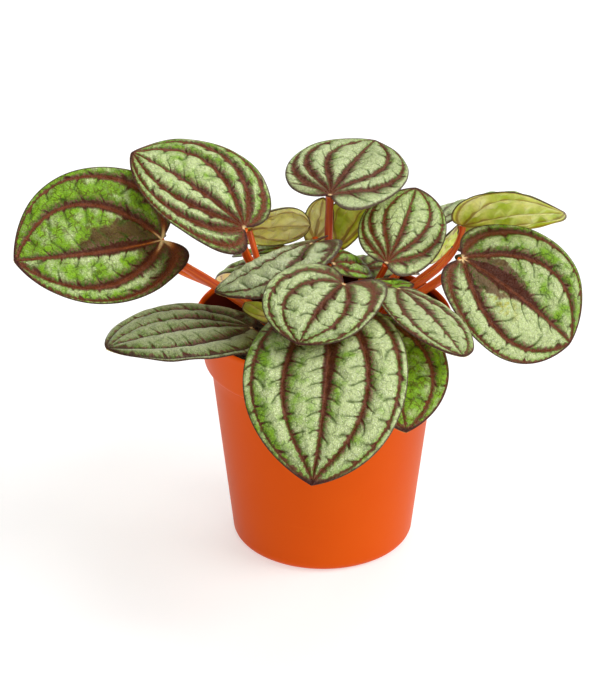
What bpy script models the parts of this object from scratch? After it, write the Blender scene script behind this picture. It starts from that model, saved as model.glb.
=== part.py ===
"""Potted peperomia: nursery pot, potting soil, petioles and veined leaf blades, one solid each."""

import math
from dataclasses import dataclass

import bmesh
import bpy
import numpy as np
from mathutils import Vector
from mathutils.bvhtree import BVHTree

MM = 0.001

# Pot, radii and heights in metres
POT_HEIGHT = 0.1005
POT_RIM_RADIUS = 0.0525
POT_COLLAR_FOOT_RADIUS = 0.0487
POT_COLLAR_FOOT_HEIGHT = 0.0815
POT_WALL_TOP_RADIUS = 0.0461
POT_WALL_TOP_HEIGHT = 0.0797
POT_WALL_FOOT_RADIUS = 0.0372
POT_CORNER_RADIUS = 0.0045
POT_WALL = 0.0012
POT_FLOOR = 0.0016
POT_SIDES = 56
DRAIN_HOLES = 6
DRAIN_HOLE_RADIUS = 0.0026
DRAIN_RING_RADIUS = 0.0250

# Soil
SOIL_TOP = 0.0855
SOIL_GAP = 0.0004
SOIL_SIDES = 36
SOIL_LUMP = 0.0006
ROOT_DEPTH = 0.0070
HOLE_GAP = 0.0003
HOLE_SIDES = 10

# Leaf blade and petiole
BLADE_THICKNESS = 0.0010
PUFF = 0.115
SEAT_GAP = 0.0003
ROW_SHIFT = 0.05
STEM_START = 0.0870
SEAT_STEPS = 24


@dataclass
class Leaf:
    """One leaf: sizes in millimetres, angles in degrees.

    attach is where the petiole meets the blade. heading is the blade's compass direction seen from
    above (0 to the right, 90 away from the viewer), rise its tilt above level and roll its turn about
    its own midrib. droop bends the tip down, sweep bends the midrib sideways in the blade's plane,
    twist turns the blade along the midrib and cup raises the margins. tip narrows the blade toward its
    point, lobe is how far the two shoulders reach back beside the petiole, and uneven and lobe_uneven
    make one half larger than the other. root is where the petiole leaves the soil, petiole its radius
    at the root and at the blade, and bow and reach say how upright it starts and how square it ends.
    rows is the number of mesh rows, veins_a and veins_b the main veins on either side of the midrib.
    fan spreads those veins toward the margin before the point, and puff deepens the quilting.
    """

    name: str
    attach: tuple
    heading: float
    rise: float
    roll: float
    length: float
    width: float
    root: tuple
    droop: float = 0.0
    sweep: float = 0.0
    twist: float = 0.0
    cup: float = 0.0
    tip: float = 0.45
    lobe: float = 8.0
    uneven: float = 0.0
    lobe_uneven: float = 0.0
    petiole: tuple = (2.1, 1.7)
    bow: float = 0.22
    reach: float = 0.20
    rows: int = 10
    veins_a: tuple = (0.46, 0.86)
    veins_b: tuple = (0.46, 0.86)
    fan: float = 2.2
    puff: float = 1.0


SMALL = dict(rows=7, veins_a=(0.52,), veins_b=(0.52,), petiole=(1.6, 1.25))
TINY = dict(rows=6, veins_a=(0.52,), veins_b=(0.52,), petiole=(1.4, 1.1))
BACK = dict(rows=8, cup=-10, tip=0.5, petiole=(1.7, 1.4), veins_a=(0.52,), veins_b=(0.52,))

LEAVES = [
    Leaf("far_left", (-65, 0.3, 133.4), 223, 5, 70, 63.5, 56, (-15, -4), droop=28, sweep=10,
         twist=-31, tip=0.8, lobe=14, uneven=0.235, lobe_uneven=-0.15, petiole=(2.3, 1.95),
         reach=0.30, veins_a=(0.42, 0.78), veins_b=(0.50, 0.84), fan=1.8, rows=11),
    Leaf("upper_left", (-31.7, -5, 141.2), 160, 38, 24, 56, 52.4, (-9, 7), droop=27, sweep=-3,
         twist=-20, tip=0.75, lobe=8, uneven=0.165, lobe_uneven=-0.15, petiole=(2.2, 1.75),
         reach=0.36, veins_a=(0.34, 0.60, 0.85), veins_b=(0.45, 0.84)),
    Leaf("top", (2.8, 22, 143.6), 75, 2, -5, 54, 50.5, (2, 8), droop=-4, sweep=12, twist=2, lobe=9,
         lobe_uneven=0.35, veins_a=(0.34, 0.64), veins_b=(0.34, 0.66), fan=4.5),
    Leaf("upper_right", (25.4, 2, 122.3), 69, 12, -14, 47, 36, (9, 8), droop=-12, sweep=-10,
         twist=5, tip=0.6, lobe=4, lobe_uneven=0.6, petiole=(1.8, 1.3), veins_a=(0.38, 0.70),
         veins_b=(0.38, 0.70), fan=3.0),
    Leaf("far_right", (55.6, -6, 128.0), -17, -25, -24, 55.5, 58.5, (17, -2), droop=18, sweep=6,
         twist=-20, tip=0.45, lobe=7, uneven=-0.05, petiole=(1.9, 1.5), veins_a=(0.50, 0.88),
         veins_b=(0.42, 0.80), fan=1.8, rows=11),
    Leaf("right_rear", (57, 22, 130), -9, 23, 48, 44.8, 44, (15, 6), droop=24, sweep=5, twist=-6,
         cup=10, tip=0.4, lobe=5, uneven=0.07, lobe_uneven=-0.3, petiole=(1.45, 1.1), reach=0.30),
    Leaf("low_left", (-28.8, -22, 104.9), 204, 13, 4, 62.3, 48.5, (-13, -12), fan=1.0, droop=19,
         sweep=-2, twist=-7, tip=0.6, puff=1.5),
    Leaf("inner_left", (-5, -5.2, 134.2), 205, -12, -17, 44, 36, (-6, -4), droop=10, sweep=3,
         twist=6, cup=-25, puff=1.4, tip=0.35, lobe=12, uneven=-0.22, petiole=(1.9, 1.5)),
    Leaf("centre", (7.5, -39, 132.5), -119, 4, 15, 39.5, 43, (5, -12), fan=1.4, droop=36, sweep=-11,
         twist=-3, tip=0.8, lobe=15, uneven=0.10, lobe_uneven=-0.3, petiole=(1.9, 1.5), bow=0.55,
         reach=0.04, veins_a=(0.60, 0.90), veins_b=(0.42, 0.82)),
    Leaf("low_right", (29.5, -21, 122), -57, -2, 17, 48, 37, (16, -9), droop=20, sweep=-1, twist=2,
         lobe=5, uneven=0.10, petiole=(1.9, 1.5)),
    Leaf("front", (2.5, -37, 121.5), -90, 0, 0, 84, 63.5, (-3, -19), fan=0.5, droop=64, sweep=10.5,
         cup=-4, tip=1.0, lobe=6, uneven=0.02, lobe_uneven=-0.1, petiole=(2.2, 1.9), rows=12),
    Leaf("front_right", (17.2, -24, 111), -74, 2, 0, 60, 41, (12, -19), droop=56, tip=0.9, lobe=3,
         twist=1, uneven=-0.17),
    Leaf("rear_left", (-30.5, 15, 131.3), 20, 4, 50, 26, 30, (-21, 12.5), bow=0.1, reach=0.3,
         droop=20, sweep=5, twist=10, tip=0.3, lobe=6, **SMALL),
    Leaf("rear_small", (-3.3, 29, 121.5), 0, 80, 86, 19, 12.5, (-4, 14), lobe=4, droop=8, **TINY),
    Leaf("rear_middle", (6.4, 41, 111.6), 0, 62, 84, 30, 18, (7, 14), lobe=2, droop=8, uneven=0.35,
         **SMALL),
    Leaf("thin_left", (-13.5, 21, 120.8), 145, -16, -10, 31.5, 18, (-11, 15), droop=11, sweep=4,
         twist=6, **SMALL),
    Leaf("inner_small", (4, 0, 123), 32, -6, -19, 21, 18, (3, -1), droop=35, sweep=-5, twist=-4,
         lobe=4, **TINY),
    Leaf("young_left", (-22, -16, 107), 138, 22, -2, 13, 12, (-9, -8), droop=20, sweep=-3, twist=4,
         lobe=4, **TINY),
    Leaf("inner_right", (13, -10, 116), 12, 6, 0, 24, 16, (9, -4), droop=10, lobe=5, **SMALL),
    Leaf("rear_right_high", (45.8, 44, 121), 72, -4, 22, 36, 30, (12, 15), droop=8, twist=3,
         veins_a=(0.52,), veins_b=(0.52,), petiole=(1.6, 1.3), rows=8),
    Leaf("rear_right", (57, 42, 121.5), 118, -47, 21, 31, 24, (19, 11), droop=12, sweep=3, lobe=6,
         **SMALL),
    Leaf("back_left", (-72, 30, 120), 165, 0, -5, 44, 42, (-20, 4), droop=32, lobe=7, bow=0.34,
         **BACK),
    Leaf("back_right", (59, 17, 119.5), 2, -14, 5, 42, 34, (21, 3), droop=30, bow=0.30, **BACK),
    Leaf("rim_right", (17.2, 34, 104.3), 56, 6, 0, 38, 29, (9, 21), droop=60, lobe=6, **BACK),
    Leaf("rim_middle", (-1.2, 38, 106.5), 93, -2, 0, 42, 23, (0, 23), droop=62, lobe=5, **BACK),
    Leaf("rim_left", (-20, 34, 107), 128, -2, 0, 40, 30, (-9, 20), droop=60, lobe=6, **BACK),
]

UNDERSIDE_UP = ("right_rear", "rear_left", "rear_small", "rear_middle", "rear_right")


def clear_objects():
    """Start from an empty set of objects."""
    for item in list(bpy.data.objects):
        bpy.data.objects.remove(item, do_unlink=True)
    for item in list(bpy.data.collections):
        bpy.data.collections.remove(item)


def new_collection(name):
    """Collection linked to the scene."""
    group = bpy.data.collections.new(name)
    bpy.context.scene.collection.children.link(group)
    return group


def make_material(name, colour, roughness):
    """Plain surface material."""
    material = bpy.data.materials.new(name)
    material.use_nodes = True
    shader = material.node_tree.nodes["Principled BSDF"]
    shader.inputs["Base Color"].default_value = (*colour, 1.0)
    shader.inputs["Roughness"].default_value = roughness
    material.diffuse_color = (*colour, 1.0)
    return material


def deselect():
    """Nothing selected, so that an operator sees one object only."""
    for item in bpy.context.selected_objects:
        item.select_set(False)


def put_in(item, group):
    """Move an object into one collection."""
    for owner in list(item.users_collection):
        owner.objects.unlink(item)
    group.objects.link(item)


def apply_modifiers(item):
    """Bake the modifier stack of one object into its mesh."""
    graph = bpy.context.evaluated_depsgraph_get()
    mesh = bpy.data.meshes.new_from_object(item.evaluated_get(graph))
    old = item.data
    item.modifiers.clear()
    item.data = mesh
    if isinstance(old, bpy.types.Mesh):
        bpy.data.meshes.remove(old)


def clean_mesh(mesh, distance=0.000002):
    """Weld doubled points, drop slivers and face all faces outward."""
    work = bmesh.new()
    work.from_mesh(mesh)
    bmesh.ops.remove_doubles(work, verts=work.verts, dist=distance)
    bmesh.ops.dissolve_degenerate(work, edges=work.edges, dist=distance)
    bmesh.ops.recalc_face_normals(work, faces=work.faces)
    work.to_mesh(mesh)
    work.free()
    mesh.update()


def revolve(name, profile, steps, group):
    """Turn a profile of (radius, height) points about Z into a closed solid."""
    mesh = bpy.data.meshes.new(name)
    points = [(radius, 0.0, height) for radius, height in profile]
    edges = [(number, number + 1) for number in range(len(points) - 1)]
    mesh.from_pydata(points, edges, [])
    item = bpy.data.objects.new(name, mesh)
    group.objects.link(item)
    turn = item.modifiers.new("turn", "SCREW")
    turn.axis = "Z"
    turn.angle = math.tau
    turn.steps = steps
    turn.render_steps = steps
    turn.use_merge_vertices = True
    turn.merge_threshold = 0.00001
    turn.use_normal_calculate = True
    apply_modifiers(item)
    clean_mesh(item.data)
    return item


def pot_wall_radius(height):
    """Outer radius of the pot wall at a height below the collar."""
    share = height / POT_WALL_TOP_HEIGHT
    return POT_WALL_FOOT_RADIUS + (POT_WALL_TOP_RADIUS - POT_WALL_FOOT_RADIUS) * share


def pot_profile():
    """Inner floor centre, up the inside, over the rim, down the outside to the foot centre."""
    corner = POT_CORNER_RADIUS
    inside = [
        (0.0, POT_FLOOR),
        (pot_wall_radius(corner) - POT_WALL - corner * 0.7, POT_FLOOR),
        (pot_wall_radius(corner) - POT_WALL - 0.0004, corner * 0.8),
        (pot_wall_radius(0.035) - POT_WALL, 0.035),
        (POT_WALL_TOP_RADIUS - POT_WALL, POT_WALL_TOP_HEIGHT - 0.0004),
        (POT_COLLAR_FOOT_RADIUS - POT_WALL, POT_COLLAR_FOOT_HEIGHT + 0.0008),
        (POT_RIM_RADIUS - POT_WALL - 0.0002, POT_HEIGHT - 0.0006),
        (POT_RIM_RADIUS - POT_WALL + 0.0002, POT_HEIGHT),
    ]
    outside = [
        (POT_RIM_RADIUS - 0.0003, POT_HEIGHT),
        (POT_RIM_RADIUS, POT_HEIGHT - 0.0005),
        (POT_COLLAR_FOOT_RADIUS, POT_COLLAR_FOOT_HEIGHT),
        (POT_COLLAR_FOOT_RADIUS - 0.0008, POT_COLLAR_FOOT_HEIGHT - 0.0006),
        (POT_WALL_TOP_RADIUS, POT_WALL_TOP_HEIGHT),
        (pot_wall_radius(0.035), 0.035),
    ]
    centre = pot_wall_radius(corner) - corner
    for number in range(4):
        angle = math.radians(90.0 * number / 3)
        outside.append((centre + corner * math.cos(angle), corner - corner * math.sin(angle)))
    outside.append((0.0, 0.0))
    return inside + outside


def soil_profile():
    """Foot centre, up beside the pot wall and in over the top, 0.3 mm clear of the pot."""
    corner = POT_CORNER_RADIUS
    gap = POT_WALL + SOIL_GAP
    side = [
        (0.0, POT_FLOOR + SOIL_GAP),
        (pot_wall_radius(corner) - gap - corner * 0.75, POT_FLOOR + SOIL_GAP),
        (pot_wall_radius(corner) - gap - 0.0005, corner * 0.85),
        (pot_wall_radius(0.035) - gap, 0.035),
        (POT_WALL_TOP_RADIUS - gap, POT_WALL_TOP_HEIGHT),
        (POT_COLLAR_FOOT_RADIUS - gap - 0.0002, POT_COLLAR_FOOT_HEIGHT + 0.0014),
        (POT_COLLAR_FOOT_RADIUS - gap + 0.0002, SOIL_TOP - 0.0010),
    ]
    top = [(radius, SOIL_TOP) for radius in (0.0455, 0.0390, 0.0315, 0.0240, 0.0160, 0.0080, 0.0)]
    return list(reversed(side + top))


def lump(x, y):
    """Uneven height of the soil top."""
    wave = math.sin(310.0 * x + 1.3) * math.cos(270.0 * y - 0.6) + 0.7 * math.sin(520.0 * y + 380.0 * x)
    return SOIL_LUMP * wave


def build_pot(group, cutters, material):
    """Pot shell with its ring of drain holes."""
    pot = revolve("pot", pot_profile(), POT_SIDES, group)
    tools = []
    for number in range(DRAIN_HOLES):
        angle = math.tau * (number + 0.5) / DRAIN_HOLES
        place = (DRAIN_RING_RADIUS * math.cos(angle), DRAIN_RING_RADIUS * math.sin(angle), 0.0)
        deselect()
        bpy.ops.mesh.primitive_cylinder_add(vertices=16, radius=DRAIN_HOLE_RADIUS, depth=0.008,
                                            location=place)
        tool = bpy.context.active_object
        tool.name = f"drain_cutter_{number + 1}"
        put_in(tool, cutters)
        tool.hide_render = True
        tool.display_type = "WIRE"
        tools.append(tool)
    for tool in tools:
        cut = pot.modifiers.new("cut", "BOOLEAN")
        cut.operation = "DIFFERENCE"
        cut.solver = "EXACT"
        cut.object = tool
    bpy.context.view_layer.update()
    apply_modifiers(pot)
    clean_mesh(pot.data)
    pot.data.materials.clear()
    pot.data.materials.append(material)
    pot.data.shade_smooth()
    return pot


def build_soil(group, cutters, material):
    """Soil body with an uneven top and a plain hole for each petiole."""
    soil = revolve("soil", soil_profile(), SOIL_SIDES, group)
    for point in soil.data.vertices:
        reach = math.hypot(point.co.x, point.co.y)
        if point.co.z > SOIL_TOP - 0.0001 and reach < 0.044:
            point.co.z += lump(point.co.x, point.co.y)
    tools = []
    for leaf in LEAVES:
        radius = (leaf.petiole[0] * MM + HOLE_GAP) / math.cos(math.pi / HOLE_SIDES)
        low = SOIL_TOP - ROOT_DEPTH - HOLE_GAP
        high = SOIL_TOP + 0.005
        place = (leaf.root[0] * MM, leaf.root[1] * MM, (low + high) / 2)
        deselect()
        bpy.ops.mesh.primitive_cylinder_add(vertices=HOLE_SIDES, radius=radius, depth=high - low,
                                            location=place)
        tool = bpy.context.active_object
        tool.name = f"root_cutter_{leaf.name}"
        put_in(tool, cutters)
        tool.hide_render = True
        tool.display_type = "WIRE"
        tools.append(tool)
    for tool in tools:
        cut = soil.modifiers.new("cut", "BOOLEAN")
        cut.operation = "DIFFERENCE"
        cut.solver = "EXACT"
        cut.object = tool
    bpy.context.view_layer.update()
    apply_modifiers(soil)
    clean_mesh(soil.data)
    soil.data.materials.clear()
    soil.data.materials.append(material)
    return soil


def leaf_frame(leaf):
    """Side, length and upward directions of the blade at its attach point."""
    heading = math.radians(leaf.heading)
    rise = math.radians(leaf.rise)
    roll = math.radians(leaf.roll)
    along = np.array([math.cos(rise) * math.cos(heading), math.cos(rise) * math.sin(heading),
                      math.sin(rise)])
    side = np.array([math.sin(heading), -math.cos(heading), 0.0])
    up = np.cross(side, along)
    turned_side = side * math.cos(roll) + up * math.sin(roll)
    turned_up = up * math.cos(roll) - side * math.sin(roll)
    return turned_side, along, turned_up


def vein_lines(leaf):
    """Positions across the blade of its margins and main veins, -1 to 1."""
    right = [value for value in leaf.veins_a]
    left = [-value for value in reversed(leaf.veins_b)]
    return [-1.0] + left + [0.0] + right + [1.0]


def mesh_lines(leaf):
    """Vein lines with a ridge line halfway between each pair that is wide enough."""
    lines = vein_lines(leaf)
    result = [lines[0]]
    for low, high in zip(lines[:-1], lines[1:]):
        if high - low > 0.15:
            result.append((low + high) / 2)
        result.append(high)
    return result


def spread(leaf, t, lane):
    """Place across the blade of a lane that fans out toward the margin."""
    size = np.abs(lane)
    far = 1 - np.clip(1 - size, 0, 1) ** (1 + leaf.fan * t ** 1.5)
    return np.sign(lane) * (far * (1 - 0.15 * size) + 0.15 * size ** 2)


def puff_height(leaf, t, lane):
    """Rise of the blade between its sunken veins, in millimetres."""
    height = np.zeros_like(lane)
    lines = vein_lines(leaf)
    for low, high in zip(lines[:-1], lines[1:]):
        inside = (lane >= low) & (lane <= high)
        share = (lane - low) / (high - low)
        size = min(high - low, 0.46) * leaf.width / 2 * PUFF * leaf.puff
        bump = np.sin(np.pi * np.clip(share, 0, 1)) * size * np.sin(np.pi * t) ** 0.8
        height = np.where(inside, bump, height)
    return height


def blade_points(leaf, t, lane):
    """Points of the upper face in metres for t from base to tip and lanes across."""
    length = leaf.length
    v = spread(leaf, t, lane)
    swell = np.sin(np.pi * t)
    hem = np.abs(v)
    across = leaf.width / 2 * swell * (1 - leaf.tip * t ** 7) * v * (1 + leaf.uneven * np.sign(v))
    blend = hem ** 2
    ahead = length * ((1 - blend) * t + blend * (1 - np.cos(np.pi * t)) / 2)
    ahead = ahead - leaf.lobe * (1 + leaf.lobe_uneven * np.sign(v)) * 4.2 * swell * (1 - t) ** 4 * hem ** 3
    front = np.maximum(ahead, 0)
    behind = np.minimum(ahead, 0)
    bend = math.radians(leaf.sweep) / length
    turn = bend * front
    if abs(bend) > 1e-9:
        spine_x = (1 - np.cos(turn)) / bend
        spine_y = np.sin(turn) / bend + behind
    else:
        spine_x = np.zeros_like(ahead)
        spine_y = ahead
    y = spine_y - across * np.sin(turn)
    hollow = math.radians(leaf.cup) / (0.5 * leaf.width)
    if abs(hollow) > 1e-9:
        x = spine_x + np.sin(hollow * across) / hollow * np.cos(turn)
        z = (1 - np.cos(hollow * across)) / hollow
    else:
        x = spine_x + across * np.cos(turn)
        z = np.zeros_like(x)
    z = z + puff_height(leaf, t, lane)
    curl = math.radians(leaf.droop) / length
    fore = np.maximum(y, 0)
    angle = -curl * fore
    if abs(curl) > 1e-9:
        run = np.where(y > 0, np.sin(curl * fore) / curl, y)
        drop = -(1 - np.cos(curl * fore)) / curl
    else:
        run = y
        drop = np.zeros_like(y)
    place_y = run - np.sin(angle) * z
    lift = np.cos(angle) * z
    twist = math.radians(leaf.twist) * np.clip(y / length, 0, 1)
    place_x = x * np.cos(twist) - lift * np.sin(twist)
    place_z = drop + place_x * np.sin(twist) + lift * np.cos(twist)
    side, along, up = leaf_frame(leaf)
    point = (np.array(leaf.attach, float) + place_x[..., None] * side + place_y[..., None] * along
             + place_z[..., None] * up)
    return point * MM


def build_blade(leaf, group, material):
    """Leaf blade: a grid shaped to the veined outline, thickened downward."""
    lines = mesh_lines(leaf)
    columns = len(lines) - 1
    deselect()
    bpy.ops.mesh.primitive_grid_add(x_subdivisions=columns, y_subdivisions=leaf.rows, size=2.0)
    blade = bpy.context.active_object
    blade.name = f"blade_{leaf.name}"
    blade.data.name = blade.name
    put_in(blade, group)
    count = len(blade.data.vertices)
    flat = np.empty(count * 3)
    blade.data.vertices.foreach_get("co", flat)
    flat = flat.reshape(count, 3)
    column = np.rint((flat[:, 0] + 1) / 2 * columns).astype(int)
    row = (flat[:, 1] + 1) / 2
    t = np.clip(row - ROW_SHIFT * np.sin(math.tau * row), 0.0, 1.0)
    points = blade_points(leaf, t, np.array(lines)[column])
    blade.data.vertices.foreach_set("co", points.ravel())
    work = bmesh.new()
    work.from_mesh(blade.data)
    bmesh.ops.remove_doubles(work, verts=work.verts, dist=0.00002)
    bmesh.ops.triangulate(work, faces=work.faces, quad_method="FIXED")
    work.to_mesh(blade.data)
    work.free()
    body = blade.modifiers.new("body", "SOLIDIFY")
    body.thickness = BLADE_THICKNESS
    body.offset = -1.0
    body.use_even_offset = False
    body.use_quality_normals = True
    apply_modifiers(blade)
    blade.data.materials.clear()
    blade.data.materials.append(material)
    blade.data.shade_smooth()
    return blade


def petiole_path(leaf, end):
    """Centre line from the soil hole to a given end under the blade, in metres."""
    up = leaf_frame(leaf)[2]
    start = np.array([leaf.root[0] * MM, leaf.root[1] * MM, STEM_START])
    way = end - start
    reach = np.linalg.norm(way)
    first = start + np.array([0.0, 0.0, 1.0]) * reach * leaf.bow + way * 0.12
    second = end - way * 0.16 - up * reach * leaf.reach
    steps = 8 if leaf.petiole[0] > 2.0 else 6
    path = [start - np.array([0.0, 0.0, STEM_START - SOIL_TOP + ROOT_DEPTH])]
    for number in range(steps + 1):
        s = number / steps
        path.append((1 - s) ** 3 * start + 3 * (1 - s) ** 2 * s * first
                    + 3 * (1 - s) * s ** 2 * second + s ** 3 * end)
    return path


def clearance(tree, path, radius):
    """Smallest distance from the last stretch of a petiole to the blade."""
    way = path[-1] - path[-2]
    direction = way / np.linalg.norm(way)
    side = np.cross(direction, [0.0, 1.0, 0.3])
    side = side / np.linalg.norm(side)
    other = np.cross(direction, side)
    smallest = 1.0
    for share in (1.0, 0.8, 0.6, 0.4, 0.2):
        centre = path[-2] + way * share
        for number in range(12):
            angle = math.tau * number / 12
            rim = radius * (math.cos(angle) * side + math.sin(angle) * other)
            smallest = min(smallest, tree.find_nearest(Vector(centre + rim))[3])
    return smallest


def seated_path(leaf, blade):
    """Petiole path that rises until its end lies the seat gap below the blade."""
    radius = leaf.petiole[1] * MM
    up = leaf_frame(leaf)[2]
    tree = BVHTree.FromObject(blade, bpy.context.evaluated_depsgraph_get())
    end = np.array(leaf.attach, float) * MM - up * (BLADE_THICKNESS + 3.0 * radius)
    for _ in range(SEAT_STEPS):
        gap = clearance(tree, petiole_path(leaf, end), radius)
        end = end + up * (gap - SEAT_GAP) * 0.7
    return petiole_path(leaf, end)


def build_petiole(leaf, blade, group, material):
    """Petiole: a bevelled line that tapers toward the blade."""
    points = seated_path(leaf, blade)
    name = f"petiole_{leaf.name}"
    curve = bpy.data.curves.new(name, "CURVE")
    curve.dimensions = "3D"
    curve.bevel_depth = 1.0 * MM
    curve.bevel_resolution = 2
    curve.use_fill_caps = True
    spline = curve.splines.new("POLY")
    spline.points.add(len(points) - 1)
    gaps = [float(np.linalg.norm(b - a)) for a, b in zip(points[:-1], points[1:])]
    total = sum(gaps)
    gone = 0.0
    for number, point in enumerate(points):
        share = gone / total
        spline.points[number].co = (*point, 1.0)
        spline.points[number].radius = leaf.petiole[0] + (leaf.petiole[1] - leaf.petiole[0]) * share
        if number < len(gaps):
            gone += gaps[number]
    line = bpy.data.objects.new(name + "_line", curve)
    group.objects.link(line)
    bpy.context.view_layer.update()
    graph = bpy.context.evaluated_depsgraph_get()
    mesh = bpy.data.meshes.new_from_object(line.evaluated_get(graph))
    mesh.name = name
    bpy.data.objects.remove(line, do_unlink=True)
    bpy.data.curves.remove(curve)
    clean_mesh(mesh, 0.00001)
    petiole = bpy.data.objects.new(name, mesh)
    group.objects.link(petiole)
    mesh.materials.clear()
    mesh.materials.append(material)
    mesh.shade_smooth()
    return petiole


def main():
    """Build every sub-part of the potted plant."""
    clear_objects()
    parts = new_collection("potted_peperomia")
    cutters = new_collection("cutters")
    plastic = make_material("pot_plastic", (0.76, 0.16, 0.03), 0.38)
    earth = make_material("potting_soil", (0.035, 0.022, 0.016), 0.95)
    green = make_material("leaf_upper", (0.30, 0.48, 0.22), 0.45)
    pale = make_material("leaf_underside", (0.52, 0.55, 0.17), 0.55)
    stalk = make_material("petiole_flesh", (0.62, 0.13, 0.05), 0.40)
    build_pot(parts, cutters, plastic)
    build_soil(parts, cutters, earth)
    for leaf in LEAVES:
        blade = build_blade(leaf, parts, pale if leaf.name in UNDERSIDE_UP else green)
        bpy.context.view_layer.update()
        build_petiole(leaf, blade, parts, stalk)


main()
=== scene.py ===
"""Looks of the potted peperomia: veined leaves, fleshy stalks, crumbly soil and a nursery pot."""

import logging
import math
from dataclasses import dataclass
from enum import Enum

import bpy
import numpy as np
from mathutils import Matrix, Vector, noise

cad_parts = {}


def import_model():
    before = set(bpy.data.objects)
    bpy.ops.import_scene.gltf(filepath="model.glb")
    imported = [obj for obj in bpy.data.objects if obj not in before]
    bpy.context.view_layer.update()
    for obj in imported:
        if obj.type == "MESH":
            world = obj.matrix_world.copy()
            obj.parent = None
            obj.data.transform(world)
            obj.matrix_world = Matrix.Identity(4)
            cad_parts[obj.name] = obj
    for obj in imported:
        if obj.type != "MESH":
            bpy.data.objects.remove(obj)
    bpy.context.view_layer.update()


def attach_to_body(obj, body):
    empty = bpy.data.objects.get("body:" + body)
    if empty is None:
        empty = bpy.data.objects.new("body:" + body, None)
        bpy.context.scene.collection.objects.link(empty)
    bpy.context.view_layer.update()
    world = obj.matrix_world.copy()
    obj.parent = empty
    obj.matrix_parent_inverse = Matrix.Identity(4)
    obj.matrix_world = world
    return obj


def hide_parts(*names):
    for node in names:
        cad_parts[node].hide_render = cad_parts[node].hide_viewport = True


LOG = logging.getLogger("peperomia")
MM = 0.001
BODY = "root"
TINY_ANGLE = 1e-9

Colour = tuple[float, float, float]
Triple = tuple[float, float, float]
Array = np.ndarray
Piece = bpy.types.Object
Material = bpy.types.Material
Socket = bpy.types.NodeSocket


class Tone(Enum):
    """Share of silver over the green of a blade's upper face."""

    PALE = 1.20
    SILVER = 0.95
    MINT = 0.85
    MIXED = 0.65
    LEAFY = 0.50
    GREEN = 0.35
    SHADE = 0.15


class Face(Enum):
    """Material slots of a blade."""

    UPPER = 0
    UNDER = 1


def deselect() -> None:
    """Leave nothing selected, so that an operator sees one object only."""
    for item in bpy.context.selected_objects:
        item.select_set(False)


def activate(piece: Piece) -> None:
    """Make a piece the only selected and the active object.

    Args:
        piece: Object to work on.
    """
    deselect()
    piece.select_set(True)
    bpy.context.view_layer.objects.active = piece


def apply_modifier(piece: Piece, name: str) -> None:
    """Apply one modifier of a piece."""
    activate(piece)
    bpy.ops.object.modifier_apply(modifier=name)


def weld(piece: Piece, distance: float) -> None:
    """Merge the doubled points of a piece and face it outward.

    Args:
        piece: Object to weld.
        distance: Merge distance in metres.
    """
    activate(piece)
    bpy.ops.object.mode_set(mode="EDIT")
    bpy.ops.mesh.select_all(action="SELECT")
    bpy.ops.mesh.remove_doubles(threshold=distance)
    bpy.ops.mesh.normals_make_consistent(inside=False)
    bpy.ops.object.mode_set(mode="OBJECT")


def smooth(piece: Piece, degrees: float) -> None:
    """Shade a piece smooth up to an edge angle."""
    activate(piece)
    bpy.ops.object.shade_smooth_by_angle(angle=math.radians(degrees))


def coordinates(piece: Piece) -> Array:
    """Read the points of a piece.

    Args:
        piece: Object to read.

    Returns:
        Coordinates in metres, one row a point.
    """
    flat = np.empty(len(piece.data.vertices) * 3)
    piece.data.vertices.foreach_get("co", flat)
    return flat.reshape(-1, 3)


def grid(name: str, columns: int, rows: int) -> tuple[Piece, Array, Array]:
    """Add a flat grid and give each point's column and row.

    Args:
        name: Name of the new object.
        columns: Number of cells across.
        rows: Number of cells along.

    Returns:
        The object, and the column and row number of each of its points.
    """
    deselect()
    bpy.ops.mesh.primitive_grid_add(x_subdivisions=columns, y_subdivisions=rows, size=2.0)
    piece = bpy.context.active_object
    piece.name = name
    piece.data.name = name
    share = (coordinates(piece) + 1) / 2
    return piece, np.rint(share[:, 0] * columns).astype(int), np.rint(share[:, 1] * rows).astype(int)


def place_points(piece: Piece, points: Array) -> None:
    """Move all points of a piece, to one row of metres a point."""
    piece.data.vertices.foreach_set("co", points.astype(np.float32).ravel())
    piece.data.update()


def store(piece: Piece, name: str, *values: Array) -> None:
    """Keep three numbers on each point of a piece for its material."""
    layer = piece.data.attributes.new(name, "FLOAT_VECTOR", "POINT")
    layer.data.foreach_set("vector", np.stack(values, -1).astype(np.float32).ravel())


def soft_noise(x: Array, y: Array, size: float, seed: float) -> Array:
    """Smooth noise from about -1 to 1, with bumps of one size and a pattern of its own for each seed."""
    return np.array([noise.noise(Vector((a / size, b / size, seed))) for a, b in zip(x, y)])


def ramp(value: Array, low: float, high: float) -> Array:
    """Smooth step from 0 at low to 1 at high."""
    share = np.clip((value - low) / (high - low), 0.0, 1.0)
    return share * share * (3 - 2 * share)


def bell(value: Array, middle: float, width: float) -> Array:
    """Soft hump that is 1 at its middle."""
    return np.exp(-((value - middle) / width) ** 2)


def arc(length: Array, bend: float) -> tuple[Array, Array]:
    """Follow an arc from the origin.

    Args:
        length: Distances along the arc.
        bend: Turn for each unit of length, in radians; nothing gives a straight line.

    Returns:
        Distances ahead and sideways.
    """
    if abs(bend) < TINY_ANGLE:
        return length, np.zeros_like(length)
    return np.sin(bend * length) / bend, (1 - np.cos(bend * length)) / bend


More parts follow.
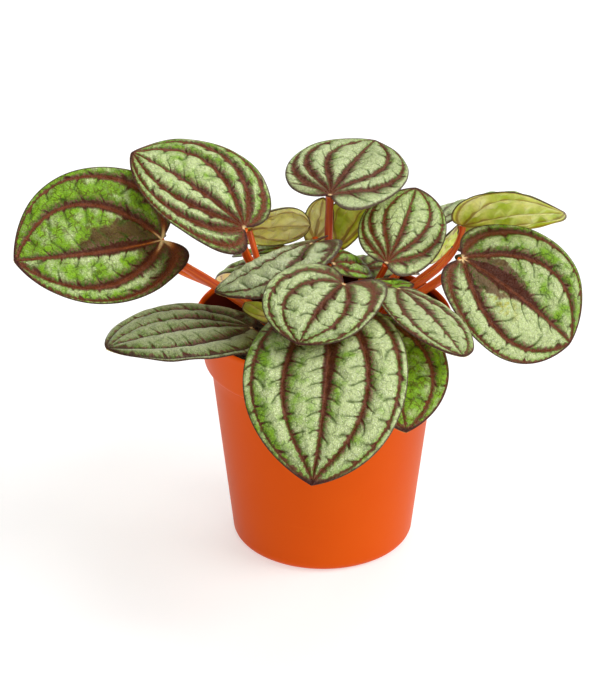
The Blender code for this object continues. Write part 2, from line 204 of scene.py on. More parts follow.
@dataclass(frozen=True)
class Signal:
    """Output of a node in a material, which takes part in arithmetic."""

    graph: "Graph"
    socket: Socket

    def __add__(self, other: "Signal | float") -> "Signal":
        """Sum."""
        return self.graph.calc("ADD", self, other)

    def __sub__(self, other: "Signal | float") -> "Signal":
        """Difference."""
        return self.graph.calc("SUBTRACT", self, other)

    def __rsub__(self, other: float) -> "Signal":
        """Difference from a plain number."""
        return self.graph.calc("SUBTRACT", other, self)

    def __mul__(self, other: "Signal | float") -> "Signal":
        """Product."""
        return self.graph.calc("MULTIPLY", self, other)


Value = Signal | Colour | float


class Graph:
    """Adds and links the nodes of one material."""

    def __init__(self, name: str) -> None:
        """Start a material with its shader.

        Args:
            name: Name of the material.
        """
        self.material = bpy.data.materials.new(name)
        self.material.use_nodes = True
        self.tree = self.material.node_tree

    def put(self, socket: Socket, value: Value) -> None:
        """Link an input or set its value.

        Args:
            socket: Input to fill.
            value: Signal, number or colour.
        """
        if isinstance(value, Signal):
            self.tree.links.new(value.socket, socket)
        elif socket.type == "RGBA":
            socket.default_value = (*value, 1.0)
        else:
            socket.default_value = value

    def add(self, kind: str, inputs: dict[int | str, Value], output: int | str = 0,
            **settings: str) -> Signal:
        """Add a node.

        Args:
            kind: Kind of node.
            inputs: What its inputs are linked or set to.
            output: Name or number of the output that is used.
            settings: The node's own choices.

        Returns:
            The output.
        """
        node = self.tree.nodes.new(f"ShaderNode{kind}")
        for name, choice in settings.items():
            setattr(node, name, choice)
        for name, value in inputs.items():
            self.put(node.inputs[name], value)
        return Signal(self, node.outputs[output])

    def read(self, name: str) -> tuple[Signal, ...]:
        """Read an attribute.

        Args:
            name: Name of the attribute.

        Returns:
            The vector and its three parts.
        """
        vector = self.add("Attribute", {}, "Vector", attribute_name=name)
        parts = self.add("SeparateXYZ", {0: vector}).socket.node.outputs
        return vector, *(Signal(self, part) for part in parts)

    def place(self) -> Signal:
        """Coordinates in the piece's own space, in metres."""
        return self.add("TexCoord", {}, "Object")

    def calc(self, operation: str, first: Value, second: Value = 0.0) -> Signal:
        """Arithmetic on one or two numbers."""
        return self.add("Math", {0: first, 1: second}, operation=operation)

    def step(self, value: Signal, low: Value, high: Value, start: float = 0.0, end: float = 1.0) -> Signal:
        """Smooth step from start, where the value is low or less, to end, where it is high or more."""
        limits = {"Value": value, "From Min": low, "From Max": high, "To Min": start, "To Max": end}
        return self.add("MapRange", limits, "Result", interpolation_type="SMOOTHSTEP")

    def stretch(self, vector: Signal, factors: Triple) -> Signal:
        """Scale a vector axis by axis."""
        return self.add("VectorMath", {0: vector, 1: factors}, operation="MULTIPLY")

    def wander(self, vector: Signal, scale: float, reach: float) -> Signal:
        """Shift coordinates by soft noise, about as far as reach, so that what is read there looks grown."""
        shift = self.add("TexNoise", {"Vector": vector, "Scale": scale}, "Color")
        return self.add("VectorMath", {0: shift, 1: (2.0 * reach,) * 3, 2: vector}, operation="MULTIPLY_ADD")

    def clouds(self, vector: Signal, scale: float, detail: float) -> Signal:
        """Soft noise from 0 to 1, with scale bumps per unit length and detail finer layers."""
        return self.add("TexNoise", {"Vector": vector, "Scale": scale, "Detail": detail}, "Fac")

    def cells(self, vector: Signal, scale: float, feature: str = "F1") -> tuple[Signal, Signal]:
        """Irregular cells: the distance to a cell's middle or border, and the cell's random colour."""
        distance = self.add("TexVoronoi", {"Vector": vector, "Scale": scale}, "Distance", feature=feature)
        return distance, Signal(self, distance.socket.node.outputs.get("Color"))

    def blend(self, share: Value, first: Value, second: Value) -> Signal:
        """Mix two colours: share 0 gives the first and 1 the second."""
        return self.add("Mix", {0: share, 6: first, 7: second}, 2, data_type="RGBA")

    def coats(self, colour: Value, *coats: tuple[Value, Value]) -> Value:
        """Lay coats over a colour.

        Args:
            colour: Lowest colour.
            coats: Share and colour of each coat, from the lowest up.

        Returns:
            Mixed colour.
        """
        for share, tint in coats:
            colour = self.blend(share, colour, tint)
        return colour

    def brighten(self, colour: Signal, factor: Signal) -> Signal:
        """Multiply a colour by a number."""
        return self.add("VectorMath", {0: colour, "Scale": factor}, operation="SCALE")

    def bump(self, height: Signal, distance: float, strength: float, **under: Signal) -> Signal:
        """Surface relief whose height 1 is distance metres deep, on a Normal if one is given."""
        inputs = {"Strength": strength, "Distance": distance, "Height": height, **under}
        return self.add("Bump", inputs, "Normal")

    def dress(self, **sockets: Value) -> Material:
        """Fill the shader's sockets.

        Args:
            sockets: Socket names, with underscores for spaces, and their values.

        Returns:
            The finished material.
        """
        shader = self.tree.nodes["Principled BSDF"]
        for name, value in sockets.items():
            self.put(shader.inputs[name.replace("_", " ")], value)
        return self.material


def side_vein_gap(graph: Graph, phase: Signal) -> Signal:
    """Twice the distance to the nearest side vein, in millimetres."""
    return graph.calc("PINGPONG", phase, 0.5) * (2.0 * Leaf.RUNG_STEP)


@dataclass(frozen=True)
class UpperFinish:
    """Silvery green upper face with burgundy veins, silver speckle and a dark margin.

    Its patterns are read in millimetres on the flat blade. Light and shade are painted into it: the silver
    grows on the flank of each panel that faces the key light, the greyer leaves carry a pale greyish sheen
    there and painted shade on the other flank, the veins spread wider into that painted shade, the purplish
    colour beside the veins is burgundy under a painted sheen, and the pale speckle carries painted glints.
    flank is where a panel turns from its painted-shade side to its painted-light side, and silver_tones is
    the share of silver that a silvery leaf starts from.
    """

    silver: Colour = (0.485, 0.575, 0.250)
    # Pale grains of the leaf's speckle, brightened into painted glints.
    speckle_glint: Colour = (0.81, 0.85, 0.61)
    green: Colour = (0.205, 0.400, 0.010)
    deep_green: Colour = (0.048, 0.095, 0.003)
    vein: Colour = (0.070, 0.014, 0.004)
    vein_core: Colour = (0.175, 0.042, 0.012)
    vein_grey: Colour = (0.070, 0.042, 0.024)
    # Purplish colour: burgundy under a painted sheen.
    mauve_sheen: Colour = (0.180, 0.088, 0.052)
    wash: Colour = (0.090, 0.032, 0.012)
    ember: Colour = (0.60, 0.17, 0.025)
    cream: Colour = (0.86, 0.62, 0.30)
    margin: Colour = (0.050, 0.010, 0.008)
    blemish: Colour = (0.50, 0.46, 0.05)
    # Pale greyish painted sheen for the flank of each panel that faces the key light, then painted shade for
    # its other flank.
    grey_sheen: Colour = (0.44, 0.44, 0.33)
    dusk_shade: Colour = (0.105, 0.110, 0.050)
    roughness: float = 0.34
    roughness_spread: float = 0.16
    side_vein_share: float = 0.48
    grain_depth: float = 0.00045
    groove_depth: float = 0.0004
    flank: tuple[float, float] = (0.25, 0.75)
    silver_tones: tuple[float, float] = (0.50, 0.70)

    def make(self) -> Material:
        """Build the material.

        Returns:
            The finished material.
        """
        graph = Graph("leaf_upper_finish")
        spot, _, _, _ = graph.read("blade_place")
        _, vein, phase, strength = graph.read("blade_vein")
        _, edge, wash, centre = graph.read("blade_edge")
        _, tone, width, blemish = graph.read("blade_tone")
        _, lit, ember, grey_sheen = graph.read("blade_light")
        fine = graph.clouds(spot, 0.85, 3.0)
        wobble = fine - 0.5
        colour, net = self.ground(graph, spot, tone, lit, vein)
        # Lit and shaded copies of a greyish tint: painted sheen on the flank that faces the key light,
        # painted shade on the other.
        sheen_and_shade = graph.blend(graph.step(lit, 0.25, 0.80), self.dusk_shade, self.grey_sheen)
        spots = graph.step(graph.clouds(spot, 0.45, 2.0), 0.46, 0.60) * blemish
        ragged = graph.clouds(spot, 0.28, 4.0) - 0.5
        veil = graph.step(wash + ragged * 2.6, 0.10, 0.70, 0.0, 0.90) * graph.step(wash, 0.0, 0.2)
        # Painted sheen turns the brown wash purplish on the flank that faces the key light and on the greyer
        # leaves.
        paling = graph.step(lit, 0.30, 0.75, 0.0, 0.25) + grey_sheen * 1.6
        wash_and_sheen = graph.blend(paling, self.wash, self.mauve_sheen)
        line, teeth, groove_green_and_shade = self.side_veins(graph, phase, strength, wobble, vein)
        thread = graph.blend(graph.step(vein, 0.8, 3.5), self.vein, self.deep_green)
        # Painted shade beside the veins: the vein band reaches further, and the dark green and purplish
        # border beside it fades wider, on the flank that faces away from the key light.
        reach = (width + wobble * 2.4 + teeth) * graph.step(lit, *self.flank, 1.20, 0.72)
        soft = graph.step(lit, *self.flank, 2.9, 0.9) * graph.step(width, 0.2, 1.0, 0.15, 1.0)
        fringe_and_shade = graph.step(vein, reach, reach + soft, 0.95, 0.0)
        hue = graph.blend(graph.step(fine, 0.40, 0.60), self.deep_green, self.mauve_sheen)
        # A painted greyish sheen dulls the vein cores as well.
        core = graph.blend(grey_sheen, self.vein_core, self.vein_grey)
        bed = graph.coats(self.vein, (graph.step(vein, 0.1, 1.1, 1.0, 0.0), core),
                          (graph.step(fine, 0.50, 0.72, 0.0, 0.30), self.mauve_sheen))
        band = graph.step(vein, reach - 0.50, reach + 0.35, 1.0, 0.0)
        rim = graph.step(edge + wobble * 0.5, 0.15, 0.70, 1.0, 0.0)
        glow = graph.step(vein, 0.10, 0.45, 1.0, 0.0) * ember
        tinge = graph.blend(graph.step(centre, 1.5, 7.0), self.cream, self.ember)
        colour = graph.coats(colour, (grey_sheen * 0.60, sheen_and_shade), (spots * 0.8, self.blemish), (veil, wash_and_sheen),
                             (groove_green_and_shade, self.deep_green), (line * self.side_vein_share, thread),
                             (fringe_and_shade, hue), (band, bed), (rim * 0.92, self.margin), (glow, tinge))
        colour = graph.brighten(colour, graph.clouds(spot, 2.4, 2.0) * 1.4 + 0.30)
        grain, _ = graph.cells(spot, 1.7)
        relief = graph.bump(grain * -1.0, self.grain_depth, 0.55)
        relief = graph.bump((net + line) * -1.0, self.groove_depth, 0.6, Normal=relief)
        return graph.dress(Base_Color=colour, Roughness=fine * self.roughness_spread + self.roughness,
                           Normal=relief, Specular_IOR_Level=0.20, Subsurface_Weight=0.08,
                           Subsurface_Radius=(0.6, 1.0, 0.2), Subsurface_Scale=0.0006)

    def ground(self, graph: Graph, spot: Signal, tone: Signal, lit: Signal,
               vein: Signal) -> tuple[Signal, Signal]:
        """Green ground with silver patches that grow with painted light, pale grains with painted glints and
        a fine net.

        Args:
            graph: Material being built.
            spot: Place on the flat blade.
            tone: Share of silver.
            lit: 0 to 1 across each panel, towards its pale flank.
            vein: Distance to the nearest main vein.

        Returns:
            Colour and strength of the net.
        """
        patches = graph.clouds(spot, 0.15, 3.0)
        # The silver grows on the flank that faces the key light: painted light over the leaf's own silver
        # patches.
        limit = 0.93 - tone * 0.46 - lit * 0.24
        shine = graph.step(patches, limit - 0.15, limit + 0.15) * graph.step(vein, 0.5, 1.8, 0.35, 1.0)
        border, _ = graph.cells(graph.wander(spot, 0.35, 1.3), 0.40, "DISTANCE_TO_EDGE")
        broken = graph.step(graph.clouds(spot, 0.45, 1.0), 0.38, 0.60, 0.15, 0.85)
        net = graph.step(border, 0.015, 0.13, 1.0, 0.0) * broken
        shade = graph.step(graph.clouds(spot, 0.30, 2.0), 0.35, 0.70, 0.0, 0.45)
        # Pale speckle grains with painted glints, strongest where the silver is.
        grain, chance = graph.cells(spot, 1.9)
        glint = graph.step(grain, 0.20, 0.46, 1.0, 0.0) * graph.step(chance, 0.25, 0.80, 0.05, 1.0)
        faint = graph.step(tone, *self.silver_tones, 0.75, 0.85) - shine * 0.40
        thread = graph.blend(graph.step(tone, *self.silver_tones), self.vein, self.deep_green)
        return graph.coats(self.green, (shade, self.deep_green), (shine, self.silver),
                           (glint * (shine * 0.75 + 0.10), self.speckle_glint), (net * faint, thread)), net

    def side_veins(self, graph: Graph, phase: Signal, strength: Signal, wobble: Signal,
                   vein: Signal) -> tuple[Signal, Signal, Signal]:
        """Side veins, and the teeth that they and finer ones give the main veins.

        Args:
            graph: Material being built.
            phase: Whole on each side vein.
            strength: How strong the side vein is.
            wobble: Fine noise.
            vein: Distance to the nearest main vein.

        Returns:
            Strength of the side vein, what the teeth add to the main vein's half width, and the
            darker green in the groove beside the side vein, partly painted crease shade.
        """
        gap = graph.calc("ABSOLUTE", side_vein_gap(graph, phase) + wobble * 1.8)
        thick = graph.step(vein, 0.5, 6.0, 0.58, 0.20)
        line = graph.step(gap, thick * 0.3, thick, 1.0, 0.0) * strength
        flare = graph.step(gap, 0.0, 2.0, 1.0, 0.0) * strength
        comb = graph.calc("PINGPONG", phase * 4.0, 0.5) + wobble * 2.0
        hair = graph.step(comb, 0.02, 0.16, 1.0, 0.0) * graph.step(vein, 1.2, 3.2, 0.35, 0.0)
        teeth = graph.step(comb, 0.0, 0.5, 0.20, -0.15) + flare * 1.10
        # Darker green in the groove beside each side vein: the leaf's deeper green with painted crease
        # shade.
        groove_green_and_shade = graph.step(gap, 0.3, 2.3, 0.60, 0.0) * strength
        return graph.calc("MAXIMUM", line, hair), teeth, groove_green_and_shade


@dataclass(frozen=True)
class UnderFinish:
    """Yellow-green underside with thin reddish veins and a dark margin."""

    flesh: Colour = (0.47, 0.58, 0.050)
    cream: Colour = (0.95, 0.90, 0.42)
    blush: Colour = (0.50, 0.30, 0.040)
    vein: Colour = (0.26, 0.110, 0.025)
    margin: Colour = (0.07, 0.020, 0.010)
    roughness: float = 0.45
    vein_height: float = 0.0004

    def make(self) -> Material:
        """Build the material.

        Returns:
            The finished material.
        """
        graph = Graph("leaf_underside_finish")
        spot, _, _, along = graph.read("blade_place")
        _, vein, phase, strength = graph.read("blade_vein")
        _, edge, wash, _ = graph.read("blade_edge")
        _, tone, _, blotch = graph.read("blade_tone")
        _, lit, _, _ = graph.read("blade_light")
        fine = graph.clouds(spot, 0.8, 2.0)
        # The pale cream grows on the flank that faces the key light: painted light over the underside's own
        # pale patches.
        patches = graph.clouds(spot, 0.09, 3.0) + lit * 0.20
        limit = 1.0 - tone * 0.75
        pale = graph.step(patches, limit - 0.22, limit + 0.22)
        flush = graph.step(vein, 0.2, 1.6, 0.22, 0.0)
        line = graph.step(side_vein_gap(graph, phase), 0.05, 0.35, 0.35, 0.0) * strength
        width = graph.step(along, 0.0, 1.0, 0.16, 0.03)
        core = graph.step(vein, width, width + 0.18, 0.60, 0.0)
        marks = graph.step(graph.clouds(spot, 0.32, 2.0), 0.60, 0.70, 0.0, 0.8) * blotch
        rim = graph.step(edge, 0.15, 0.60, 0.95, 0.0)
        colour = graph.coats(self.flesh, (pale, self.cream), (flush, self.blush), (wash * 0.5, self.blush),
                             (line, self.blush), (core, self.vein), (marks, self.vein), (rim, self.margin))
        colour = graph.brighten(colour, fine * 0.4 + 0.80)
        return graph.dress(Base_Color=colour, Roughness=self.roughness,
                           Normal=graph.bump(line + core, self.vein_height, 0.5),
                           Subsurface_Weight=0.75, Subsurface_Radius=(1.0, 1.0, 0.25),
                           Subsurface_Scale=0.0025)


@dataclass(frozen=True)
class StalkFinish:
    """Smooth, fleshy red-orange stalk with fine lengthwise streaks."""

    red: Colour = (0.62, 0.055, 0.006)
    orange: Colour = (0.85, 0.180, 0.016)
    dark: Colour = (0.16, 0.010, 0.004)
    roughness: float = 0.34
    streak_depth: float = 0.0003

    def make(self) -> Material:
        """Build the material.

        Returns:
            The finished material.
        """
        graph = Graph("stalk_finish")
        spot, _, length, tint = graph.read("stalk_place")
        streaks = graph.clouds(graph.stretch(spot, (1.1, 0.05, 1.0)), 1.0, 3.0)
        freckles, _ = graph.cells(spot, 1.3)
        foot = graph.step(length, 0.0, 20.0, 0.55, 0.0)
        dots = graph.step(freckles, 0.05, 0.20, 0.15, 0.0)
        colour = graph.coats(self.red, (graph.step(streaks, 0.35, 0.65), self.orange), (foot, self.dark),
                             (tint * 0.9, self.dark), (dots, self.dark))
        return graph.dress(Base_Color=colour, Roughness=self.roughness,
                           Normal=graph.bump(streaks, self.streak_depth, 0.35), Specular_IOR_Level=0.30,
                           Subsurface_Weight=0.25, Subsurface_Radius=(1.0, 0.35, 0.15),
                           Subsurface_Scale=0.0015)


@dataclass(frozen=True)
class PotFinish:
    """Satin orange moulded plastic with a faint grain and a few rubbed marks."""

    orange: Colour = (0.66, 0.080, 0.0005)
    worn: Colour = (0.69, 0.104, 0.003)
    # Painted shade for the inner wall.
    inner_shade: Colour = (0.040, 0.004, 0.003)
    roughness: float = 0.35
    roughness_spread: float = 0.12
    grain_depth: float = 0.00004
    dent_depth: float = 0.0004

    def make(self) -> Material:
        """Build the material.

        Returns:
            The finished material.
        """
        graph = Graph("pot_plastic_finish")
        spot = graph.place()
        clouds = graph.clouds(spot, 22.0, 3.0)
        scuffs = graph.clouds(graph.stretch(spot, (60.0, 60.0, 700.0)), 1.0, 3.0)
        _, inside, _, _ = graph.read("pot_side")
        # Painted shade darkens the inner wall from just below the rim downward.
        colour = graph.coats(self.orange, (graph.step(clouds, 0.40, 0.75, 0.0, 0.30), self.worn),
                             (graph.step(scuffs, 0.62, 0.80, 0.0, 0.30), self.worn),
                             (graph.step(inside, 0.1, 0.6, 0.0, 0.96), self.inner_shade))
        relief = graph.bump(graph.clouds(spot, 2600.0, 1.0), self.grain_depth, 0.35)
        relief = graph.bump(graph.clouds(spot, 60.0, 1.0), self.dent_depth, 0.10, Normal=relief)
        return graph.dress(Base_Color=colour, Roughness=clouds * self.roughness_spread + self.roughness,
                           Normal=relief, Specular_IOR_Level=0.07)


@dataclass(frozen=True)
class SoilFinish:
    """Dark moist peat with lighter fibres."""

    peat: Colour = (0.020, 0.012, 0.008)
    fibre: Colour = (0.090, 0.052, 0.028)
    roughness: float = 0.92
    lump_depth: float = 0.0012

    def make(self) -> Material:
        """Build the material.

        Returns:
            The finished material.
        """
        graph = Graph("peat_finish")
        spot = graph.place()
        lumps = graph.clouds(spot, 420.0, 4.0)
        _, crumbs = graph.cells(spot, 700.0)
        colour = graph.coats(self.peat, (graph.step(lumps, 0.42, 0.72), self.fibre),
                             (graph.step(crumbs, 0.80, 1.0, 0.0, 0.5), self.fibre))
        return graph.dress(Base_Color=colour, Roughness=self.roughness,
                           Normal=graph.bump(lumps, self.lump_depth, 0.8))


@dataclass(frozen=True)
class BladePlace:
    """Where each point of a blade lies.

    t runs from 0 at the base to 1 at the tip and v from -1 to 1 across; lane is v before the veins
    fan out. across, along and edge, the distance to the margin, are millimetres on the flat blade.
    """

    t: Array
    v: Array
    lane: Array
    across: Array
    along: Array
    edge: Array


@dataclass(frozen=True)
class BladeVeins:
    """Veins beside each point of a blade.

    nearest is the distance to the nearest main vein and width that vein's half width, in
    millimetres. phase is whole on each side vein, strength is that one's, and share is the place
    across the panel between two main veins, 0 to 1.
    """

    nearest: Array
    width: Array
    phase: Array
    strength: Array
    share: Array


@dataclass
class Leaf:
    """One leaf: its blade and its stalk.

    Sizes are millimetres and angles degrees. attach is where the stalk meets the blade; heading is the
    blade's direction seen from above, rise its tilt above level and roll its turn about the midrib.
    droop bends the tip down, sweep bends the midrib sideways, twist turns the blade along it and cup
    raises the margins. tip narrows the point, lobe is how far the shoulders reach back, uneven and
    lobe_uneven make one half larger. root is where the stalk leaves the soil, stalk its two radii, and
    bow and reach shape its arc; dark_stalk darkens it. veins_a and veins_b are the main veins beside
    the midrib, 0 to 1. fan spreads them outward so that they meet the margin before the tip, bold
    widens them all and streak the midrib. puff deepens the panels between them and quilt the quilting.
    tone is the share of silver and tone_shift moves it from one half to the other. wash_a and wash_b
    are how far brown shading runs beside the midrib and ember how far its orange does. blemish adds
    yellow spots. dusk is a painted greyish sheen on the flank of each panel that faces the key light, with
    painted shade on its other flank; it greys the silver and the veins and turns the brown shading purplish.
    A young leaf is pale on both faces. seed picks the leaf's own pattern.

    Of the values that all leaves share, the two of COLUMNS and ROWS are a number of cells and what each
    millimetre adds to it. A side vein leans by the two of LEAN_OUT or LEAN_IN times the distance from
    the main vein and its square. A blemish or a swelling has its place or height and its width.
    """

    name: str
    attach: Triple
    heading: float
    rise: float
    roll: float
    length: float
    width: float
    root: tuple[float, float]
    droop: float = 0.0
    sweep: float = 0.0
    twist: float = 0.0
    cup: float = 0.0
    tip: float = 0.45
    lobe: float = 8.0
    uneven: float = 0.0
    lobe_uneven: float = 0.0
    stalk: tuple[float, float] = (2.1, 1.7)
    bow: float = 0.22
    reach: float = 0.20
    veins_a: tuple[float, ...] = (0.46, 0.86)
    veins_b: tuple[float, ...] = (0.46, 0.86)
    fan: float = 2.2
    streak: float = 0.0
    bold: float = 1.0
    puff: float = 1.0
    quilt: float = 1.0
    tone: Tone = Tone.MINT
    tone_shift: float = 0.0
    wash_a: float = 0.10
    wash_b: float = 0.10
    ember: float = 0.9
    blemish: float = 0.0
    grey_sheen: float = 0.0
    young: bool = False
    dark_stalk: float = 0.0
    seed: int = 0

    THICKNESS = 0.85
    EDGE_THICKNESS = 0.45
    PUFF = 0.155
    WIDEST_PANEL = 0.46
    RUNG_STEP = 8.5
    RUNG_KINDS = 64
    THINNEST_VEIN = 0.25
    USUAL_WIDTH = 55
    NO_VEIN = 99.0
    WELD = 0.000004
    COLUMNS = (26, 1.3)
    ROWS = (30, 1.15)
    LOBE_RATE = 4.2
    LEAN_OUT = (0.45, 0.07)
    LEAN_IN = (0.30, 0.02)
    RUNG_LENGTHS = (0.60, 1.70)
    RUNG_FADE = 0.25
    RUNG_WANDER = 3.0
    HEM_DEPTH = 0.9
    HEM_REACH = 2.4
    MARGIN_FADE = 3.0
    WASH_FADE = 0.10
    BLEMISH_ALONG = (0.42, 0.12)
    BLEMISH_ACROSS = (0.30, 0.16)
    # Direction of the key light, which the painted light and shade on each panel's flanks follow.
    LIGHT = (0.55, 0.35, 0.75)
    PATTERN_SHIFT = (137.0, 71.0)
    STALK_SHIFT = 61.0
    STALK_SIDES = 20
    STALK_STEPS = 40
    SOIL_HEIGHT = 87.0
    STALK_DEPTH = 5.0
    FOOT_SWELL = (0.35, 7.0)
    TOP_SWELL = (0.25, 2.5)

    def lines(self) -> list[float]:
        """Positions across the blade of its margins and main veins, -1 to 1."""
        return [-1.0, *(-value for value in reversed(self.veins_b)), 0.0, *self.veins_a, 1.0]

    def grain(self, place: BladePlace, size: float, shift: float) -> Array:
        """Smooth noise of this leaf, with bumps of one size in millimetres."""
        return soft_noise(place.across, place.along, size, self.seed + shift)

    def frame(self) -> tuple[Array, Array, Array]:
        """Side, length and upward directions of the blade at its attach point.

        Returns:
            Three unit vectors.
        """
        heading, rise, roll = (math.radians(angle) for angle in (self.heading, self.rise, self.roll))
        along = np.array([math.cos(rise) * math.cos(heading), math.cos(rise) * math.sin(heading),
                          math.sin(rise)])
        side = np.array([math.sin(heading), -math.cos(heading), 0.0])
        up = np.cross(side, along)
        return (side * math.cos(roll) + up * math.sin(roll), along,
                up * math.cos(roll) - side * math.sin(roll))

    def half_width(self, t: Array, v: Array) -> Array:
        """Distance from the midrib to the margin, on the half that v lies in, in millimetres."""
        return self.width / 2 * np.sin(np.pi * t) * (1 - self.tip * t ** 7) * (1 + self.uneven * np.sign(v))

    def spread(self, t: Array, lane: Array) -> Array:
        """Place across the blade of a lane that fans out towards the margin.

        Args:
            t: Place along the blade, 0 to 1.
            lane: Place across the blade at its base, -1 to 1.

        Returns:
            Places across the blade, -1 to 1.
        """
        power = 1 + self.fan * np.clip(t, 0, 1) ** 1.5
        size = np.abs(lane)
        far = 1 - np.clip(1 - size, 0, 1) ** power
        return np.sign(lane) * (far * (1 - 0.15 * size) + 0.15 * size ** 2)

    def flat_place(self, t: Array, lane: Array) -> BladePlace:
        """Place of points on the flattened blade.

        Args:
            t: Place along the blade, 0 to 1.
            lane: Place across the blade before the veins fan out, -1 to 1.

        Returns:
            Places in shares of the blade and in millimetres.
        """
        v = self.spread(t, lane)
        hem = np.abs(v)
        half = self.half_width(t, v)
        blend = hem ** 2
        along = self.length * ((1 - blend) * t + blend * (1 - np.cos(np.pi * t)) / 2)
        back = self.lobe * (1 + self.lobe_uneven * np.sign(v)) * self.LOBE_RATE * np.sin(np.pi * t)
        return BladePlace(t, v, lane, half * v, along - back * (1 - t) ** 4 * hem ** 3, (1 - hem) * half)

    def bent(self, across: Array, along: Array, relief: Array) -> Array:
        """Bend, cup, droop and twist flat points into place.

        Args:
            across: Distances across the flat blade.
            along: Distances along the flat blade.
            relief: Heights above it.

        Returns:
            Points in metres.
        """
        bend = math.radians(self.sweep) / self.length
        turn = bend * np.maximum(along, 0)
        spine_y, spine_x = arc(np.maximum(along, 0), bend)
        y = spine_y + np.minimum(along, 0) - across * np.sin(turn)
        wide, rise = arc(across, math.radians(self.cup) / (0.5 * self.width))
        x = spine_x + wide * np.cos(turn)
        z = rise + relief
        curl = math.radians(self.droop) / self.length
        angle = -curl * np.maximum(y, 0)
        run, drop = arc(np.maximum(y, 0), curl)
        lift = np.cos(angle) * z
        twist = math.radians(self.twist) * np.clip(y / self.length, 0, 1)
        place_x = x * np.cos(twist) - lift * np.sin(twist)
        place_y = run + np.minimum(y, 0) - np.sin(angle) * z
        place_z = -drop + place_x * np.sin(twist) + lift * np.cos(twist)
        side, forward, up = self.frame()
        point = (np.array(self.attach, float) + place_x[..., None] * side
                 + place_y[..., None] * forward + place_z[..., None] * up)
        return point * MM

    def spacing(self, columns: int) -> Array:
        """Column positions, closer together beside the veins.

        Args:
            columns: Rough number of columns.

        Returns:
            Positions across the blade from -1 to 1.
        """
        result = [-1.0]
        lines = self.lines()
        for low, high in zip(lines[:-1], lines[1:]):
            count = max(5, round(columns * (high - low) / 2))
            share = np.linspace(0.0, 1.0, count + 1)[1:]
            share = share - 0.5 * np.sin(math.tau * share) / math.tau
            result.extend(low + (high - low) * share)
        return np.array(result)

    def find_veins(self, place: BladePlace) -> BladeVeins:
        """Find the veins beside each point.

        Args:
            place: Where the points lie.

        Returns:
            The veins.
        """
        t, v, lane = place.t, place.v, place.lane
        lines = np.array(self.lines())
        last = len(lines) - 2
        half = self.half_width(t, v)
        panel = np.clip(np.searchsorted(lines, lane, side="right") - 1, 0, last)
        low, high = lines[panel], lines[panel + 1]
        start, end = self.spread(t, low), self.spread(t, high)
        below = np.abs(v - start) * half + self.NO_VEIN * (panel == 0)
        above = np.abs(end - v) * half + self.NO_VEIN * (panel == last)
        nearest = np.minimum(below, above)
        upper = above < below
        owner = np.where(upper, high, low)
        outward = np.sign(owner + 1e-6 * np.sign(lane)) * np.where(upper, -1, 1) > 0
        room = np.abs(end - start) * half
        room = np.where((panel == 0) | (panel == last), room, room / 2)
        dice = np.random.default_rng(self.seed)
        shift = dice.uniform(0, 1, (len(lines), 2))
        out, back = (np.array(way)[:, None] for way in (self.LEAN_OUT, self.LEAN_IN))
        straight, curved = np.where(outward, out, back)
        lean = straight * nearest + curved * nearest ** 2
        run = self.length * (t - 0.06 * np.sin(math.tau * t))
        wander = self.RUNG_WANDER * self.grain(place, 8.0, 0.3)
        phase = (run - lean + wander) / self.RUNG_STEP + shift[panel, upper.astype(int)]
        number = np.rint(phase).astype(int) % self.RUNG_KINDS
        length = dice.uniform(*self.RUNG_LENGTHS, (len(lines), 2, self.RUNG_KINDS))
        length = length[panel, upper.astype(int), number]
        deep = nearest / np.maximum(room, 0.2)
        strength = (1 - ramp(deep, length - self.RUNG_FADE, length)) * (1 - ramp(deep, 0.80, 0.98))
        strength = strength * ramp(t, 0.05, 0.16) * (1 - ramp(t, 0.86, 0.98)) * ramp(room, 1.0, 3.0)
        taper = 0.85 + 0.85 * bell(t, 0.36, 0.26) - 0.45 * t
        crowd = ramp(np.abs(self.spread(t, owner)), 0.78, 1.0)
        width = self.bold * taper * (1 - 0.40 * np.abs(owner))
        width = width * (self.width / self.USUAL_WIDTH) ** 0.6 * (1 - 0.7 * crowd)
        width = width * (1 + 0.30 * self.grain(place, 5.0, 6.6))
        width = width * (1 + self.streak * (owner == 0) * bell(t, 0.35, 0.35))
        return BladeVeins(nearest, np.maximum(width, self.THINNEST_VEIN), phase, strength,
                          (lane - low) / (high - low))

    def build_blade(self, finishes: tuple[Material, Material]) -> Piece:
        """Model the blade: veined, quilted, thickened and dressed.

        Args:
            finishes: Materials of the upper face and of the underside.

        Returns:
            The blade.
        """
        lanes = self.spacing(int(self.COLUMNS[0] + self.width * self.COLUMNS[1]))
        rows = int(self.ROWS[0] + self.length * self.ROWS[1])
        blade, column, row = grid(f"leaf_{self.name}", len(lanes) - 1, rows)
        even = row / rows
        t = np.clip(even - 0.4 * np.sin(math.tau * even) / math.tau, 0.0, 1.0)
        place = self.flat_place(t, lanes[column])
        veins = self.find_veins(place)
        place_points(blade, self.bent(place.across, place.along, self.relief(place, veins)))
        self.mark(blade, place, veins)
        thin = blade.vertex_groups.new(name="thickness")
        weights = self.EDGE_THICKNESS + (1 - self.EDGE_THICKNESS) * ramp(place.edge, 0.0, 2.5)
        for number, weight in enumerate(weights):
            thin.add((number,), float(weight), "REPLACE")
        weld(blade, self.WELD)
        if blade.data.polygons[0].normal.dot(Vector(self.frame()[2])) < 0:
            blade.data.flip_normals()
        for finish in (finishes[1:] * 2 if self.young else finishes):
            blade.data.materials.append(finish)
        body = blade.modifiers.new("body", "SOLIDIFY")
        body.thickness = self.THICKNESS * MM
        body.offset = -1.0
        body.use_quality_normals = True
        body.vertex_group = "thickness"
        body.material_offset = Face.UNDER.value
        body.material_offset_rim = Face.UPPER.value
        apply_modifier(blade, "body")
        smooth(blade, 60.0)
        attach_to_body(blade, BODY)
        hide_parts(f"blade_{self.name}")
        return blade

